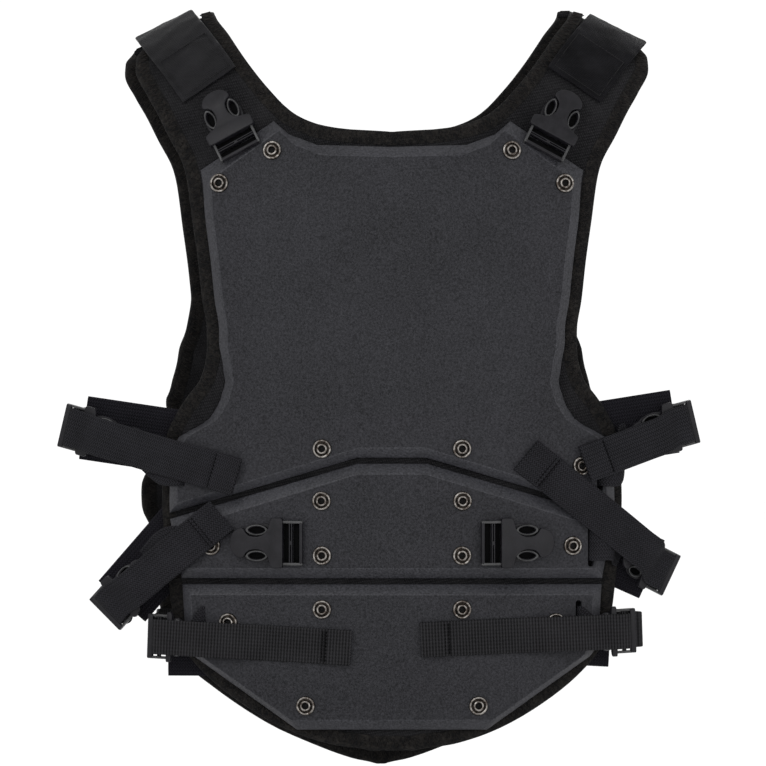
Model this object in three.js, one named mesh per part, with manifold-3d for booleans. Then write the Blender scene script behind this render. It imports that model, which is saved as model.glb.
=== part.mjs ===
// Hard-shell tactical vest: foam plates on a neoprene carrier, with webbing and buckles.
// Millimetres, +Z up, the front faces -Y. The origin lies midway between the two shoulders,
// on the line where the shoulder tongues fold over.
import * as THREE from 'three';
import { mergeVertices } from 'three/addons/utils/BufferGeometryUtils.js';
import Module from 'manifold-3d';

const wasm = await Module();
wasm.setup();

// The carrier
const vestHeight = 556;
const backDrop = 13;
const frontDepth = 104;
const backDepth = 98;
const archHeight = 125;
const sideSweep = 30.3;
const sweepReach = 170;
const bellyTuck = 16;
const shoulderHalf = 200;
const chestHalf = 158;
const armpitHalf = 143;
const waistHalf = 178;
const neckHalf = 139;
const neckDrop = 78;
const shoulderSlope = 0.5;
const shoulderMid = 172;
const foldGap = 0.9;
const backShift = -9;
const neopreneThick = 4.5;

// The foam plates
const plateThick = 9;
const plateWall = 3;
const plateBevel = 7.5;
const plateBand = 11;
const waistBand = 7;
const plateGap = 4.6;
const tipHalf = 91;
const tipRise = 18;
const cornerFall = 16;
const chevronFlat = 27;
const lowerFootHalf = 73;
const slotWidth = 5;
const slotLength = 36;

// Webbing, flaps and hardware
const webWidth = 30;
const lowerWebWidth = webWidth - 2.5;
const webThick = 1.6;
const shoulderWebWidth = 50;
const shoulderWebThick = 1.8;
const shoulderWebReach = 46;
const flapWidth = 50;
const flapThick = 2;
const flapLap = 24;
const snapRadius = 7.5;
const snapHeight = 2.6;
const snapHoleRadius = 2.2;
const buckleWidth = 35;
const buckleLength = 58;
const buckleThick = 7.5;
const sideBuckleLength = 56;
const barThick = 3.2;
const barGap = 4.6;
const shoulderBuckleSeat = 5.3;

// Clearances
const clearance = 0.3;
const facetClearance = 0.95;
const strapSeat = 1.5;

const plateLift = neopreneThick + facetClearance;
const plateTop = plateLift + plateThick;
const upperTopDrop = neckDrop + plateBand;
const tipDrop = upperTopDrop - tipRise;
const cornerDrop = upperTopDrop + cornerFall;

const materials = {
  neoprene: new THREE.MeshStandardMaterial({ color: 0x141315, roughness: 0.95, metalness: 0 }),
  foam: new THREE.MeshStandardMaterial({ color: 0x2b2c2f, roughness: 0.8, metalness: 0 }),
  webbing: new THREE.MeshStandardMaterial({ color: 0x19181a, roughness: 0.85, metalness: 0 }),
  plastic: new THREE.MeshStandardMaterial({ color: 0x1f2022, roughness: 0.45, metalness: 0 }),
  nickel: new THREE.MeshStandardMaterial({ color: 0x8d8880, roughness: 0.3, metalness: 1 }),
};

const vest = new THREE.Group();

function addMesh(name, geometry, materialName) {
  const mesh = new THREE.Mesh(geometry, materials[materialName].clone());
  mesh.name = name;
  vest.add(mesh);
  return mesh;
}

// Smooth reading of a table with the columns `at` and `size`, in rising order of `at`.
function readTable(rows, at) {
  if (at <= rows[0].at) return rows[0].size;
  const last = rows.length - 1;
  if (at >= rows[last].at) return rows[last].size;
  let k = 0;
  while (rows[k + 1].at < at) k += 1;
  const span = rows[k + 1].at - rows[k].at;
  const slope = (i) => {
    if (i === 0 || i === last) return 0;
    const before = (rows[i].size - rows[i - 1].size) / (rows[i].at - rows[i - 1].at);
    const after = (rows[i + 1].size - rows[i].size) / (rows[i + 1].at - rows[i].at);
    if (before * after <= 0) return 0;
    return (2 * before * after) / (before + after);
  };
  const t = (at - rows[k].at) / span;
  const a = rows[k].size;
  const b = rows[k + 1].size;
  const m0 = slope(k) * span;
  const m1 = slope(k + 1) * span;
  const t2 = t * t;
  const t3 = t2 * t;
  return a * (2 * t3 - 3 * t2 + 1) + m0 * (t3 - 2 * t2 + t) + b * (3 * t2 - 2 * t3) + m1 * (t3 - t2);
}

// Outer edge of the carrier: `down` is a share of the vest's height below the shoulder fold,
// `share` a share of the half width that the row follows.
const sideRows = [
  { down: 0, half: shoulderHalf, share: 0.955 },
  { down: 0.012, half: shoulderHalf, share: 0.99 },
  { down: 0.03, half: shoulderHalf, share: 0.995 },
  { down: 0.072, half: shoulderHalf, share: 0.955 },
  { down: 0.104, half: shoulderHalf, share: 0.912 },
  { down: 0.14, half: chestHalf, share: 1.095 },
  { down: 0.178, half: chestHalf, share: 1.025 },
  { down: 0.201, half: chestHalf, share: 1.004 },
  { down: 0.257, half: chestHalf, share: 0.977 },
  { down: 0.313, half: armpitHalf, share: 1.049 },
  { down: 0.369, half: armpitHalf, share: 1.025 },
  { down: 0.412, half: armpitHalf, share: 1 },
  { down: 0.439, half: armpitHalf, share: 1 },
  { down: 0.48, half: armpitHalf, share: 1.035 },
  { down: 0.502, half: waistHalf, share: 0.882 },
  { down: 0.523, half: waistHalf, share: 0.927 },
  { down: 0.565, half: waistHalf, share: 0.983 },
  { down: 0.649, half: waistHalf, share: 1 },
  { down: 0.705, half: waistHalf, share: 0.989 },
  { down: 0.763, half: waistHalf, share: 0.972 },
  { down: 0.818, half: waistHalf, share: 0.949 },
  { down: 0.86, half: waistHalf, share: 0.9 },
  { down: 0.896, half: waistHalf, share: 0.805 },
  { down: 0.935, half: waistHalf, share: 0.652 },
  { down: 0.971, half: waistHalf, share: 0.455 },
  { down: 0.992, half: waistHalf, share: 0.26 },
  { down: 1, half: waistHalf, share: 0.1 },
];

// The back panel flares earlier above the waist than the front one, and is narrower at its hem.
const backFlareRows = [
  { down: 0.36, more: 0 },
  { down: 0.41, more: 0.045 },
  { down: 0.44, more: 0.08 },
  { down: 0.48, more: 0.09 },
  { down: 0.505, more: 0.075 },
  { down: 0.54, more: 0 },
  { down: 0.585, more: 0 },
  { down: 0.63, more: 0.05 },
  { down: 0.66, more: 0.045 },
  { down: 0.7, more: 0 },
  { down: 0.862, more: 0 },
  { down: 0.89, more: -0.05 },
  { down: 0.925, more: -0.09 },
  { down: 0.97, more: -0.12 },
  { down: 1, more: -0.15 },
  { down: 1.0144, more: -0.135 },
  { down: 1.0234, more: -0.075 },
];

// Neck edge: `rise` is a share of the neck's drop above its lowest point.
const neckRows = [
  { rise: 0, share: 0 },
  { rise: 0.03, share: 0.27 },
  { rise: 0.08, share: 0.43 },
  { rise: 0.18, share: 0.56 },
  { rise: 0.36, share: 0.68 },
  { rise: 0.58, share: 0.8 },
  { rise: 0.83, share: 0.92 },
  { rise: 1, share: 1 },
];

const sideTable = sideRows.map((row) => ({ at: row.down * vestHeight, size: row.half * row.share }));
const flareTable = backFlareRows.map((row) => ({ at: row.down * vestHeight, size: row.more * waistHalf }));
const neckTable = neckRows.map((row) => ({ at: row.rise * neckDrop, size: row.share * neckHalf }));

const sideAt = (v) => readTable(sideTable, -v);
const neckAt = (v) => (v <= -neckDrop ? 0 : readTable(neckTable, v + neckDrop));

// The body form. `x` and `v` are the place in the front view, with v counted from the shoulder
// fold, `lift` the distance out from the carrier's inner face. `side` is -1 in front, 1 behind.
function foldLift(x) {
  return shoulderSlope * (shoulderMid - Math.max(Math.abs(x), neckHalf));
}

function formPoint(side, x, v) {
  const depth = side < 0 ? frontDepth : backDepth;
  const rise = Math.max(0, 1 + v / archHeight);
  const round = Math.sqrt(Math.max(0, 1 - rise * rise));
  const low = Math.max(0, -v - archHeight) / (vestHeight - archHeight);
  const out = Math.abs(x);
  const inner = Math.min(out, sweepReach);
  const sweep = (sideSweep * (inner * inner + 2 * sweepReach * (out - inner))) / sweepReach ** 2;
  const y = (depth - sweep - bellyTuck * low * low) * round;
  return new THREE.Vector3(x, side * y, v + foldLift(x) * rise * rise);
}

function formNormal(side, x, v) {
  const step = 0.5;
  const near = Math.min(v, -0.6);
  const across = formPoint(side, x + step, near).sub(formPoint(side, x - step, near));
  const up = formPoint(side, x, near + step).sub(formPoint(side, x, near - step));
  const normal = across.cross(up).normalize();
  return side < 0 ? normal : normal.negate();
}

function onForm(side, x, v, lift) {
  return formPoint(side, x, v).addScaledVector(formNormal(side, x, v), lift);
}

// Closed meshes from loops of points
class MeshMaker {
  constructor() {
    this.points = [];
    this.faces = [];
  }

  add(point) {
    this.points.push(point.x, point.y, point.z);
    return this.points.length / 3 - 1;
  }

  quad(a, b, c, d) {
    this.faces.push(a, b, c, a, c, d);
  }

  geometry() {
    let geometry = new THREE.BufferGeometry();
    geometry.setAttribute('position', new THREE.Float32BufferAttribute(this.points, 3));
    geometry.setIndex(this.faces);
    geometry = mergeVertices(geometry, 1e-4);
    dropThinFaces(geometry);
    if (signedVolume(geometry) < 0) turnOut(geometry);
    return geometry;
  }
}

function dropThinFaces(geometry) {
  const index = Array.from(geometry.index.array);
  const kept = [];
  for (let k = 0; k < index.length; k += 3) {
    const [a, b, c] = index.slice(k, k + 3);
    if (a !== b && b !== c && c !== a) kept.push(a, b, c);
  }
  geometry.setIndex(kept);
}

function signedVolume(geometry) {
  const at = (k) => new THREE.Vector3().fromBufferAttribute(geometry.attributes.position, k);
  const index = geometry.index.array;
  let sum = 0;
  for (let k = 0; k < index.length; k += 3) {
    sum += at(index[k]).dot(at(index[k + 1]).cross(at(index[k + 2])));
  }
  return sum / 6;
}

function turnOut(geometry) {
  const index = geometry.index.array;
  for (let k = 0; k < index.length; k += 3) {
    [index[k + 1], index[k + 2]] = [index[k + 2], index[k + 1]];
  }
}

function toSolid(geometry) {
  const bare = geometry.clone();
  bare.deleteAttribute('normal');
  bare.deleteAttribute('uv');
  const merged = mergeVertices(bare, 1e-4);
  return new wasm.Manifold(new wasm.Mesh({
    numProp: 3,
    vertProperties: new Float32Array(merged.attributes.position.array),
    triVerts: new Uint32Array(merged.index.array),
  }));
}

function fromSolid(solid) {
  const mesh = solid.getMesh();
  const geometry = new THREE.BufferGeometry();
  geometry.setAttribute('position', new THREE.BufferAttribute(new Float32Array(mesh.vertProperties), 3));
  geometry.setIndex(new THREE.BufferAttribute(new Uint32Array(mesh.triVerts), 1));
  return geometry;
}

// Where the plates end below the fold, in shares of the vest's height
const plateRows = {
  chevron: 0.59, chevronRise: 0.0777, middleFoot: 0.759, lowerCorner: 0.8669, lowerFoot: 0.9712,
};
const chevronDrop = plateRows.chevron * vestHeight;
const chevronRise = plateRows.chevronRise * vestHeight;
const middleFoot = plateRows.middleFoot * vestHeight;
const lowerCornerDrop = plateRows.lowerCorner * vestHeight;
const lowerFoot = plateRows.lowerFoot * vestHeight;

// The carrier's two panels
const rowsBelow = 12;
const rowsArch = 9;
const panelColumns = 5;

function panelLevels(drop) {
  const levels = [];
  const foot = vestHeight + drop;
  const hemRows = [1, 0.993, 0.975, 0.945, 0.905];
  hemRows.forEach((share) => levels.push(-foot * share));
  const start = -foot * 0.875;
  for (let k = 0; k <= rowsBelow; k += 1) {
    levels.push(start + ((-archHeight - start) * k) / rowsBelow);
  }
  const neckRise = Math.asin(1 - neckDrop / archHeight);
  const last = Math.acos(foldGap / frontDepth);
  const neckSteps = [0.5, 1];
  neckSteps.forEach((share) => levels.push(-archHeight * (1 - Math.sin(neckRise * share))));
  neckRows.slice(1, 4).forEach((row) => levels.push(-neckDrop * (1 - row.rise)));
  const from = Math.asin(1 - (neckDrop * (1 - neckRows[3].rise)) / archHeight);
  for (let k = 1; k <= rowsArch; k += 1) {
    levels.push(-archHeight * (1 - Math.sin(from + ((last - from) * k) / rowsArch)));
  }
  return levels;
}

function panelGeometry(side) {
  const drop = side < 0 ? 0 : backDrop;
  const shift = side < 0 ? 0 : backShift;
  const maker = new MeshMaker();
  const levels = panelLevels(drop);
  const stretch = (v) => (v * vestHeight) / (vestHeight + drop);
  for (const hand of [-1, 1]) {
    const outer = [];
    const inner = [];
    levels.forEach((v) => {
      const edge = sideAt(stretch(v)) + (side < 0 ? 0 : readTable(flareTable, -v));
      const neck = neckAt(v);
      const faces = [[], []];
      for (let c = 0; c <= panelColumns; c += 1) {
        const x = hand * (neck + ((edge - neck) * c) / panelColumns) + shift;
        faces[0].push(maker.add(onForm(side, x, v, 0)));
        faces[1].push(maker.add(onForm(side, x, v, neopreneThick)));
      }
      inner.push(faces[0]);
      outer.push(faces[1]);
    });
    const turn = (a, b, c, d) => (hand * side > 0 ? maker.quad(a, b, c, d) : maker.quad(d, c, b, a));
    for (let r = 0; r + 1 < levels.length; r += 1) {
      for (let c = 0; c < panelColumns; c += 1) {
        turn(outer[r][c], outer[r + 1][c], outer[r + 1][c + 1], outer[r][c + 1]);
        turn(inner[r][c], inner[r][c + 1], inner[r + 1][c + 1], inner[r + 1][c]);
      }
      const e = panelColumns;
      turn(outer[r][e], outer[r + 1][e], inner[r + 1][e], inner[r][e]);
      if (neckAt(levels[r + 1]) > 0) turn(outer[r + 1][0], outer[r][0], inner[r][0], inner[r + 1][0]);
    }
    const top = levels.length - 1;
    for (let c = 0; c < panelColumns; c += 1) {
      turn(outer[top][c], inner[top][c], inner[top][c + 1], outer[top][c + 1]);
      turn(outer[0][c + 1], inner[0][c + 1], inner[0][c], outer[0][c]);
    }
  }
  return maker.geometry();
}

// A plate from its edges: `foot` and `head` give v over the share u across, `half` the half width.
function plateGeometry(side, plate) {
  const maker = new MeshMaker();
  const columns = plate.across.length - 1;
  const rows = plate.along.length - 1;
  const shift = side < 0 ? 0 : backShift;
  const rims = [
    { lift: plateLift, inset: 0 },
    { lift: plateLift + plateWall, inset: 0 },
    { lift: plateTop, inset: plateBevel },
  ];
  const place = (c, r, rim) => {
    const u = Math.sign(c) * plate.across[Math.abs(c)];
    const foot = plate.foot(Math.abs(u)) + rim.inset;
    const head = plate.head(Math.abs(u)) - rim.inset;
    const v = foot + ((head - foot) * plate.along[r]);
    const x = u * (plate.half(v) - rim.inset);
    return maker.add(onForm(side, x + shift, v, rim.lift));
  };
  const grid = (rim) => {
    const rowsOut = [];
    for (let r = 0; r <= rows; r += 1) {
      const line = [];
      for (let c = -columns; c <= columns; c += 1) line.push(place(c, r, rim));
      rowsOut.push(line);
    }
    return rowsOut;
  };
  const layers = rims.map(grid);
  const wide = 2 * columns;
  const loopOf = (layer) => {
    const loop = [];
    for (let c = 0; c < wide; c += 1) loop.push(layer[0][c]);
    for (let r = 0; r < rows; r += 1) loop.push(layer[r][wide]);
    for (let c = wide; c > 0; c -= 1) loop.push(layer[rows][c]);
    for (let r = rows; r > 0; r -= 1) loop.push(layer[r][0]);
    return loop;
  };
  for (let r = 0; r < rows; r += 1) {
    for (let c = 0; c < wide; c += 1) {
      const base = layers[0];
      const face = layers[2];
      maker.quad(base[r][c], base[r + 1][c], base[r + 1][c + 1], base[r][c + 1]);
      maker.quad(face[r][c], face[r][c + 1], face[r + 1][c + 1], face[r + 1][c]);
    }
  }
  for (let k = 0; k + 1 < layers.length; k += 1) {
    const low = loopOf(layers[k]);
    const high = loopOf(layers[k + 1]);
    low.forEach((point, i) => {
      const next = (i + 1) % low.length;
      maker.quad(point, low[next], high[next], high[i]);
    });
  }
  return maker.geometry();
}

// Bare carrier left showing beside the plates, in shares of the plate's usual band
const bandRows = [
  { down: 0.189, share: 1.18 },
  { down: 0.257, share: 1 },
  { down: 0.34, share: 0.95 },
  { down: 0.428, share: 0.92 },
  { down: 0.466, share: 1.45 },
  { down: 0.495, share: 2.2 },
  { down: 0.518, share: 2.65 },
  { down: 0.536, share: 2.6 },
  { down: 0.55, share: 1.75 },
  { down: 0.565, share: 0.85 },
  { down: 0.595, share: 0.65 },
  { down: 0.67, share: 0.62 },
  { down: 0.76, share: 1.05 },
  { down: 0.83, share: 0.8 },
  { down: 0.867, share: 0.4 },
];
const bandTable = bandRows.map((row) => ({ at: row.down * vestHeight, size: row.share * plateBand }));
const plateHalfAt = (v) => sideAt(v) - readTable(bandTable, -v);

const cornerHalf = plateHalfAt(-cornerDrop);
const waistPlateHalf = waistHalf - waistBand;
const tipShare = tipHalf / cornerHalf;
const neckFlatShare = 0.39;
const neckRiseShare = 0.54;
const neckRiseDrop = upperTopDrop + (tipDrop - upperTopDrop) * 0.5;
const flatShare = chevronFlat / waistPlateHalf;

const chevronAt = (u) => -(chevronDrop + (chevronRise * Math.max(0, u - flatShare)) / (1 - flatShare));

function upperHead(u) {
  const edge = [
    { at: 0, drop: upperTopDrop },
    { at: neckFlatShare, drop: upperTopDrop - 1.5 },
    { at: neckRiseShare, drop: neckRiseDrop },
    { at: tipShare, drop: tipDrop },
    { at: 1, drop: cornerDrop },
  ];
  let k = 0;
  while (k + 2 < edge.length && edge[k + 1].at < u) k += 1;
  const t = (u - edge[k].at) / (edge[k + 1].at - edge[k].at);
  return -(edge[k].drop + (edge[k + 1].drop - edge[k].drop) * t);
}

function lowerHalf(v) {
  if (v >= -lowerCornerDrop) return plateHalfAt(v);
  const t = (-v - lowerCornerDrop) / (lowerFoot - lowerCornerDrop);
  const corner = plateHalfAt(-lowerCornerDrop);
  return corner + (lowerFootHalf - corner) * t;
}

const plates = {
  upper: {
    across: [0, flatShare, neckFlatShare, neckRiseShare, tipShare, 0.81, 1],
    along: [0, 0.065, 0.13, 0.19, 0.24, 0.29, 0.36, 0.5, 0.68, 0.82, 0.88, 0.94, 1],
    foot: chevronAt,
    head: upperHead,
    half: (v) => plateHalfAt(Math.min(v, -cornerDrop)),
  },
  middle: {
    across: [0, flatShare, 0.4, 0.6, 0.8, 1],
    along: [0, 0.5, 1],
    foot: () => -middleFoot,
    head: (u) => chevronAt(u) - plateGap,
    half: plateHalfAt,
  },
  lower: {
    across: [0, 0.2, 0.4, 0.6, 0.8, 1],
    along: [0, 0.13, 0.26, 0.39, 0.52, 0.76, 1],
    foot: () => -lowerFoot,
    head: () => -(middleFoot + plateGap),
    half: lowerHalf,
  },
};

// Slots for the anchor webs: `down` a share of the vest's height, `inset` in from the plate's edge
const slots = {
  upper: { plate: 'upper', down: 0.605, inset: 12 },
  middle: { plate: 'middle', down: 0.71, inset: 16 },
  lower: { plate: 'lower', down: 0.8215, inset: 17.5 },
};

const slotDrop = (slot) => slot.down * vestHeight;
const slotHalf = (slot) => plates[slot.plate].half(-slotDrop(slot)) - slot.inset;

// A frame on the form: X along `turn` degrees up from sideways, Y across it, Z outward
function frameAt(side, x, v, lift, turn = 0, pitch = 0) {
  const normal = formNormal(side, x, v);
  const across = new THREE.Vector3(Math.sign(-side), 0, 0);
  across.addScaledVector(normal, -across.dot(normal)).normalize();
  const up = new THREE.Vector3().crossVectors(normal, across);
  const angle = THREE.MathUtils.degToRad(turn);
  const along = across.clone().multiplyScalar(Math.cos(angle)).addScaledVector(up, Math.sin(angle));
  const lean = THREE.MathUtils.degToRad(pitch);
  const first = along.clone().multiplyScalar(Math.cos(lean)).addScaledVector(normal, Math.sin(lean));
  const third = normal.clone().multiplyScalar(Math.cos(lean)).addScaledVector(along, -Math.sin(lean));
  const second = new THREE.Vector3().crossVectors(third, first);
  const matrix = new THREE.Matrix4().makeBasis(first, second, third);
  return matrix.setPosition(onForm(side, x, v, lift));
}

function place(mesh, matrix) {
  matrix.decompose(mesh.position, mesh.quaternion, mesh.scale);
}

addMesh('front_neoprene', panelGeometry(-1), 'neoprene');
addMesh('back_neoprene', panelGeometry(1), 'neoprene');

for (const [name, plate] of Object.entries(plates)) {
  addMesh(`back_${name}_plate`, plateGeometry(1, plate), 'foam');
  let solid = toSolid(plateGeometry(-1, plate));
  for (const slot of Object.values(slots).filter((row) => row.plate === name)) {
    for (const hand of [-1, 1]) {
      const cutter = new THREE.BoxGeometry(slotWidth, slotLength, 4 * plateThick);
      cutter.applyMatrix4(frameAt(-1, hand * slotHalf(slot), -slotDrop(slot), plateLift));
      solid = solid.subtract(toSolid(cutter));
    }
  }
  addMesh(`front_${name}_plate`, fromSolid(solid), 'foam');
}

// Press studs in pairs: `out` is a share of the waist's half width, `down` of the vest's height
const snapRows = [
  { name: 'neck', out: 0.511, down: 0.166 },
  { name: 'shoulder', out: 0.736, down: 0.2065 },
  { name: 'chevron', out: 0.298, down: 0.577 },
  { name: 'flank', out: 0.809, down: 0.601 },
  { name: 'belly_high', out: 0.3, down: 0.65 },
  { name: 'belly_low', out: 0.298, down: 0.7265 },
  { name: 'belly_side', out: 0.77, down: 0.713 },
  { name: 'hem_high', out: 0.298, down: 0.802 },
  { name: 'hem_side', out: 0.698, down: 0.8205 },
  { name: 'hem_low', out: 0.368, down: 0.937 },
];
const snapSides = 10;

function snapGeometry() {
  const profile = [
    [snapHoleRadius, 0],
    [snapRadius, 0],
    [snapRadius, 0.4 * snapHeight],
    [0.62 * snapRadius, snapHeight],
    [snapHoleRadius, 0.6 * snapHeight],
    [snapHoleRadius, 0],
  ].map(([r, h]) => new THREE.Vector2(r, h));
  const lathe = new THREE.LatheGeometry(profile, snapSides);
  lathe.rotateX(Math.PI / 2);
  return closed(lathe);
}

function closed(geometry) {
  const bare = geometry.index ? geometry : mergeVertices(geometry);
  bare.deleteAttribute('normal');
  bare.deleteAttribute('uv');
  const merged = mergeVertices(bare, 1e-4);
  dropThinFaces(merged);
  if (signedVolume(merged) < 0) turnOut(merged);
  return merged;
}

for (const row of snapRows) {
  for (const [hand, word] of [[-1, 'left'], [1, 'right']]) {
    const snap = addMesh(`snap_${row.name}_${word}`, snapGeometry(), 'nickel');
    place(snap, frameAt(-1, hand * row.out * waistHalf, -row.down * vestHeight, plateTop + clearance));
  }
}

// Side-release buckle, fastened: head at x = 0, ladder end at x = length, flat underside at z = 0
function buckleGeometry(length, thick, width) {
  const half = width / 2;
  const ladder = 2 * barThick + 2 * barGap;
  const neck = length - ladder;
  const outline = new THREE.Shape();
  outline.moveTo(0, 0);
  outline.quadraticCurveTo(0.01 * neck, 0.72 * half, 0.32 * neck, 0.8 * half);
  outline.lineTo(0.4 * neck, 0.74 * half);
  outline.quadraticCurveTo(0.62 * neck, 1.22 * half, 0.82 * neck, 0.82 * half);
  outline.lineTo(0.86 * neck, 1.12 * half);
  outline.lineTo(neck, 1.12 * half);
  outline.lineTo(neck, -1.12 * half);
  outline.lineTo(0.86 * neck, -1.12 * half);
  outline.lineTo(0.82 * neck, -0.82 * half);
  outline.quadraticCurveTo(0.62 * neck, -1.22 * half, 0.4 * neck, -0.74 * half);
  outline.lineTo(0.32 * neck, -0.8 * half);
  outline.quadraticCurveTo(0.01 * neck, -0.72 * half, 0, 0);
  for (const hand of [-1, 1]) {
    const window = new THREE.Path();
    window.absellipse(0.61 * neck, hand * 0.76 * half, 0.13 * neck, 0.1 * half, 0, 2 * Math.PI, false, 0);
    outline.holes.push(window);
  }
  const body = new THREE.ExtrudeGeometry(outline, { depth: thick, bevelEnabled: false, curveSegments: 5 });
  const frameThick = 0.62 * thick;
  const slotRoom = webWidth / 2 + 2 * clearance;
  const overlap = 1;
  const block = (from, to, wide, high) => {
    const box = new THREE.BoxGeometry(to - from, 2 * wide, high);
    return toSolid(box.translate((from + to) / 2, 0, frameThick / 2));
  };
  let frame = block(neck - overlap, length, half, frameThick);
  for (const start of [neck, neck + barGap + barThick]) {
    frame = frame.subtract(block(start, start + barGap, slotRoom, 2 * frameThick));
  }
  return fromSolid(toSolid(closed(body)).add(frame));
}

const shoulderBuckleLift = neopreneThick + shoulderBuckleSeat;

// Front buckles: `turn` is the way the ladder end points, in degrees up from the viewer's right
const frontBuckles = [
  { name: 'shoulder_buckle', out: 0.71, down: 0.1313, turn: -116, lift: shoulderBuckleLift, pitch: 7 },
  { name: 'belly_buckle', out: 0.532, down: 0.7085, turn: 180, lift: plateTop + clearance, pitch: 0 },
];

for (const row of frontBuckles) {
  for (const [hand, word] of [[-1, 'left'], [1, 'right']]) {
    const geometry = buckleGeometry(buckleLength, buckleThick, buckleWidth);
    geometry.translate(-buckleLength / 2, 0, 0);
    const turn = hand > 0 ? row.turn : 180 - row.turn;
    const buckle = addMesh(`${row.name}_${word}`, geometry, 'plastic');
    const x = hand * row.out * waistHalf;
    place(buckle, frameAt(-1, x, -row.down * vestHeight, row.lift, turn, row.pitch));
  }
}

// Flat webbing along a line of stations, each with a point and the direction of its width
function webGeometry(stations, width, thick) {
  const maker = new MeshMaker();
  const loops = stations.map((station, k) => {
    const before = stations[Math.max(0, k - 1)].point;
    const after = stations[Math.min(stations.length - 1, k + 1)].point;
    const tangent = after.clone().sub(before).normalize();
    const wide = station.wide.clone().normalize();
    const normal = new THREE.Vector3().crossVectors(tangent, wide).normalize();
    return [[-1, -1], [1, -1], [1, 1], [-1, 1]].map(([w, n]) => maker.add(
      station.point.clone().addScaledVector(wide, (w * width) / 2).addScaledVector(normal, (n * thick) / 2),
    ));
  });
  for (let k = 0; k + 1 < loops.length; k += 1) {
    const [near, far] = [loops[k], loops[k + 1]];
    maker.quad(near[0], near[1], far[1], far[0]);
    maker.quad(near[1], near[2], far[2], far[1]);
    maker.quad(near[3], far[3], far[2], near[2]); // the same diagonal as below, so a twist stays thick
    maker.quad(near[3], near[0], far[0], far[3]);
  }
  const last = loops.length - 1;
  maker.quad(loops[0][3], loops[0][2], loops[0][1], loops[0][0]);
  maker.quad(loops[last][0], loops[last][1], loops[last][2], loops[last][3]);
  return maker.geometry();
}

// Width direction of webbing that lies on the form: square to the heading (x, v) in the front view
function wideOnForm(side, x, v, headX, headV, width) {
  const size = Math.hypot(headX, headV);
  const stepX = (-headV / size) * (width / 2);
  const stepV = (headX / size) * (width / 2);
  return onForm(side, x + stepX, v + stepV, 0).sub(onForm(side, x - stepX, v - stepV, 0)).normalize();
}

// Shoulder straps, over the fold from the front tongue to the back one
const strapFootHalf = 0.79 * waistHalf;
const strapTopHalf = 0.972 * waistHalf;
const strapSteps = 9;
const strapFoldAngle = 1.48;
for (const [hand, word] of [[-1, 'left'], [1, 'right']]) {
  const stations = [];
  const lift = neopreneThick + strapSeat + shoulderWebThick / 2;
  const from = Math.asin(1 - shoulderWebReach / archHeight);
  for (const side of [-1, 1]) {
    for (let k = 0; k <= strapSteps; k += 1) {
      const share = side < 0 ? k / strapSteps : 1 - k / strapSteps;
      const v = -archHeight * (1 - Math.sin(from + (strapFoldAngle - from) * share));
      const x = hand * (strapFootHalf + (strapTopHalf - strapFootHalf) * Math.max(0, 1 + v / shoulderWebReach));
      stations.push({ point: onForm(side, x, v, lift), normal: formNormal(side, x, v) });
    }
  }
  stations.forEach((station, k) => {
    const before = stations[Math.max(0, k - 1)].point;
    const after = stations[Math.min(stations.length - 1, k + 1)].point;
    station.wide = after.clone().sub(before).cross(station.normal).normalize();
  });
  addMesh(`shoulder_strap_${word}`, webGeometry(stations, shoulderWebWidth, shoulderWebThick), 'webbing');
}

// The six side straps. `bar`, `tail` and `flap` are places in the front view, as shares of the
// waist's half width and of the vest's height; turns are degrees up from outward. The lower tails
// lie `tailUnder` below the higher studs of the hem.
const sideStraps = [
  {
    name: 'upper_left', hand: -1, slot: 'upper', rest: -0.1, bulge: 0, length: 1, rearDown: 0.56,
    barOut: 1.433, barDown: 0.544, turn: 14, tailOut: 0.655, tailDown: 0.617,
    flapOut: 1.358, flapDown: 0.5485, flapTurn: 8.4,
  },
  {
    name: 'middle_left', hand: -1, slot: 'middle', rest: 0.02, bulge: 0, length: 1, rearDown: 0.72,
    barOut: 1.247, barDown: 0.811, turn: -47, tailOut: 0.722, tailDown: 0.6705,
    flapOut: 1.19, flapDown: 0.7926, flapTurn: -49,
  },
  {
    name: 'lower_left', hand: -1, slot: 'lower', rest: 0.45, bulge: 3, length: 0.6, rearDown: 0.83,
    barOut: 1.0365, barDown: 0.839, turn: 2, tailOut: 0.174, tailUnder: 8.6,
    flapOut: 0.985, flapDown: 0.8525, flapTurn: 0,
  },
  {
    name: 'upper_right', hand: 1, slot: 'upper', rest: -0.1, bulge: 0, length: 1, rearDown: 0.56,
    barOut: 1.317, barDown: 0.5387, turn: 14, tailOut: 0.816, tailDown: 0.5985,
    flapOut: 1.245, flapDown: 0.5396, flapTurn: 9,
  },
  {
    name: 'middle_right', hand: 1, slot: 'middle', rest: 0.12, bulge: 0, length: 0.78, rearDown: 0.71,
    barOut: 1.212, barDown: 0.756, turn: -26.6, tailOut: 0.568, tailDown: 0.5855,
    flapOut: 1.145, flapDown: 0.7477, flapTurn: -24,
  },
  {
    name: 'lower_right', hand: 1, slot: 'lower', rest: 0.45, bulge: 12, length: 0.6, rearDown: 0.83,
    barOut: 1.034, barDown: 0.8312, turn: 2, tailOut: 0.1225, tailUnder: 2.2,
    flapOut: 0.96, flapDown: 0.84, flapTurn: -3,
  },
];
const sideBuckleThick = 6;
const webSag = 0.3;
const tailLift = plateTop + clearance + webSag + webThick / 2;
const crossLift = tailLift + snapHeight + clearance;
const tailStep = 14;
const hemSnapFoot = snapRows.find((row) => row.name === 'hem_high').down * vestHeight + snapRadius;
const rearLap = 26;
const rearWidth = 12;
const flapSteps = 5;

const turned = (row, turn) => (row.hand > 0 ? turn : 180 - turn);
const inFront = (row, out, down) => new THREE.Vector2(row.hand * out * waistHalf, -down * vestHeight);

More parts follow.
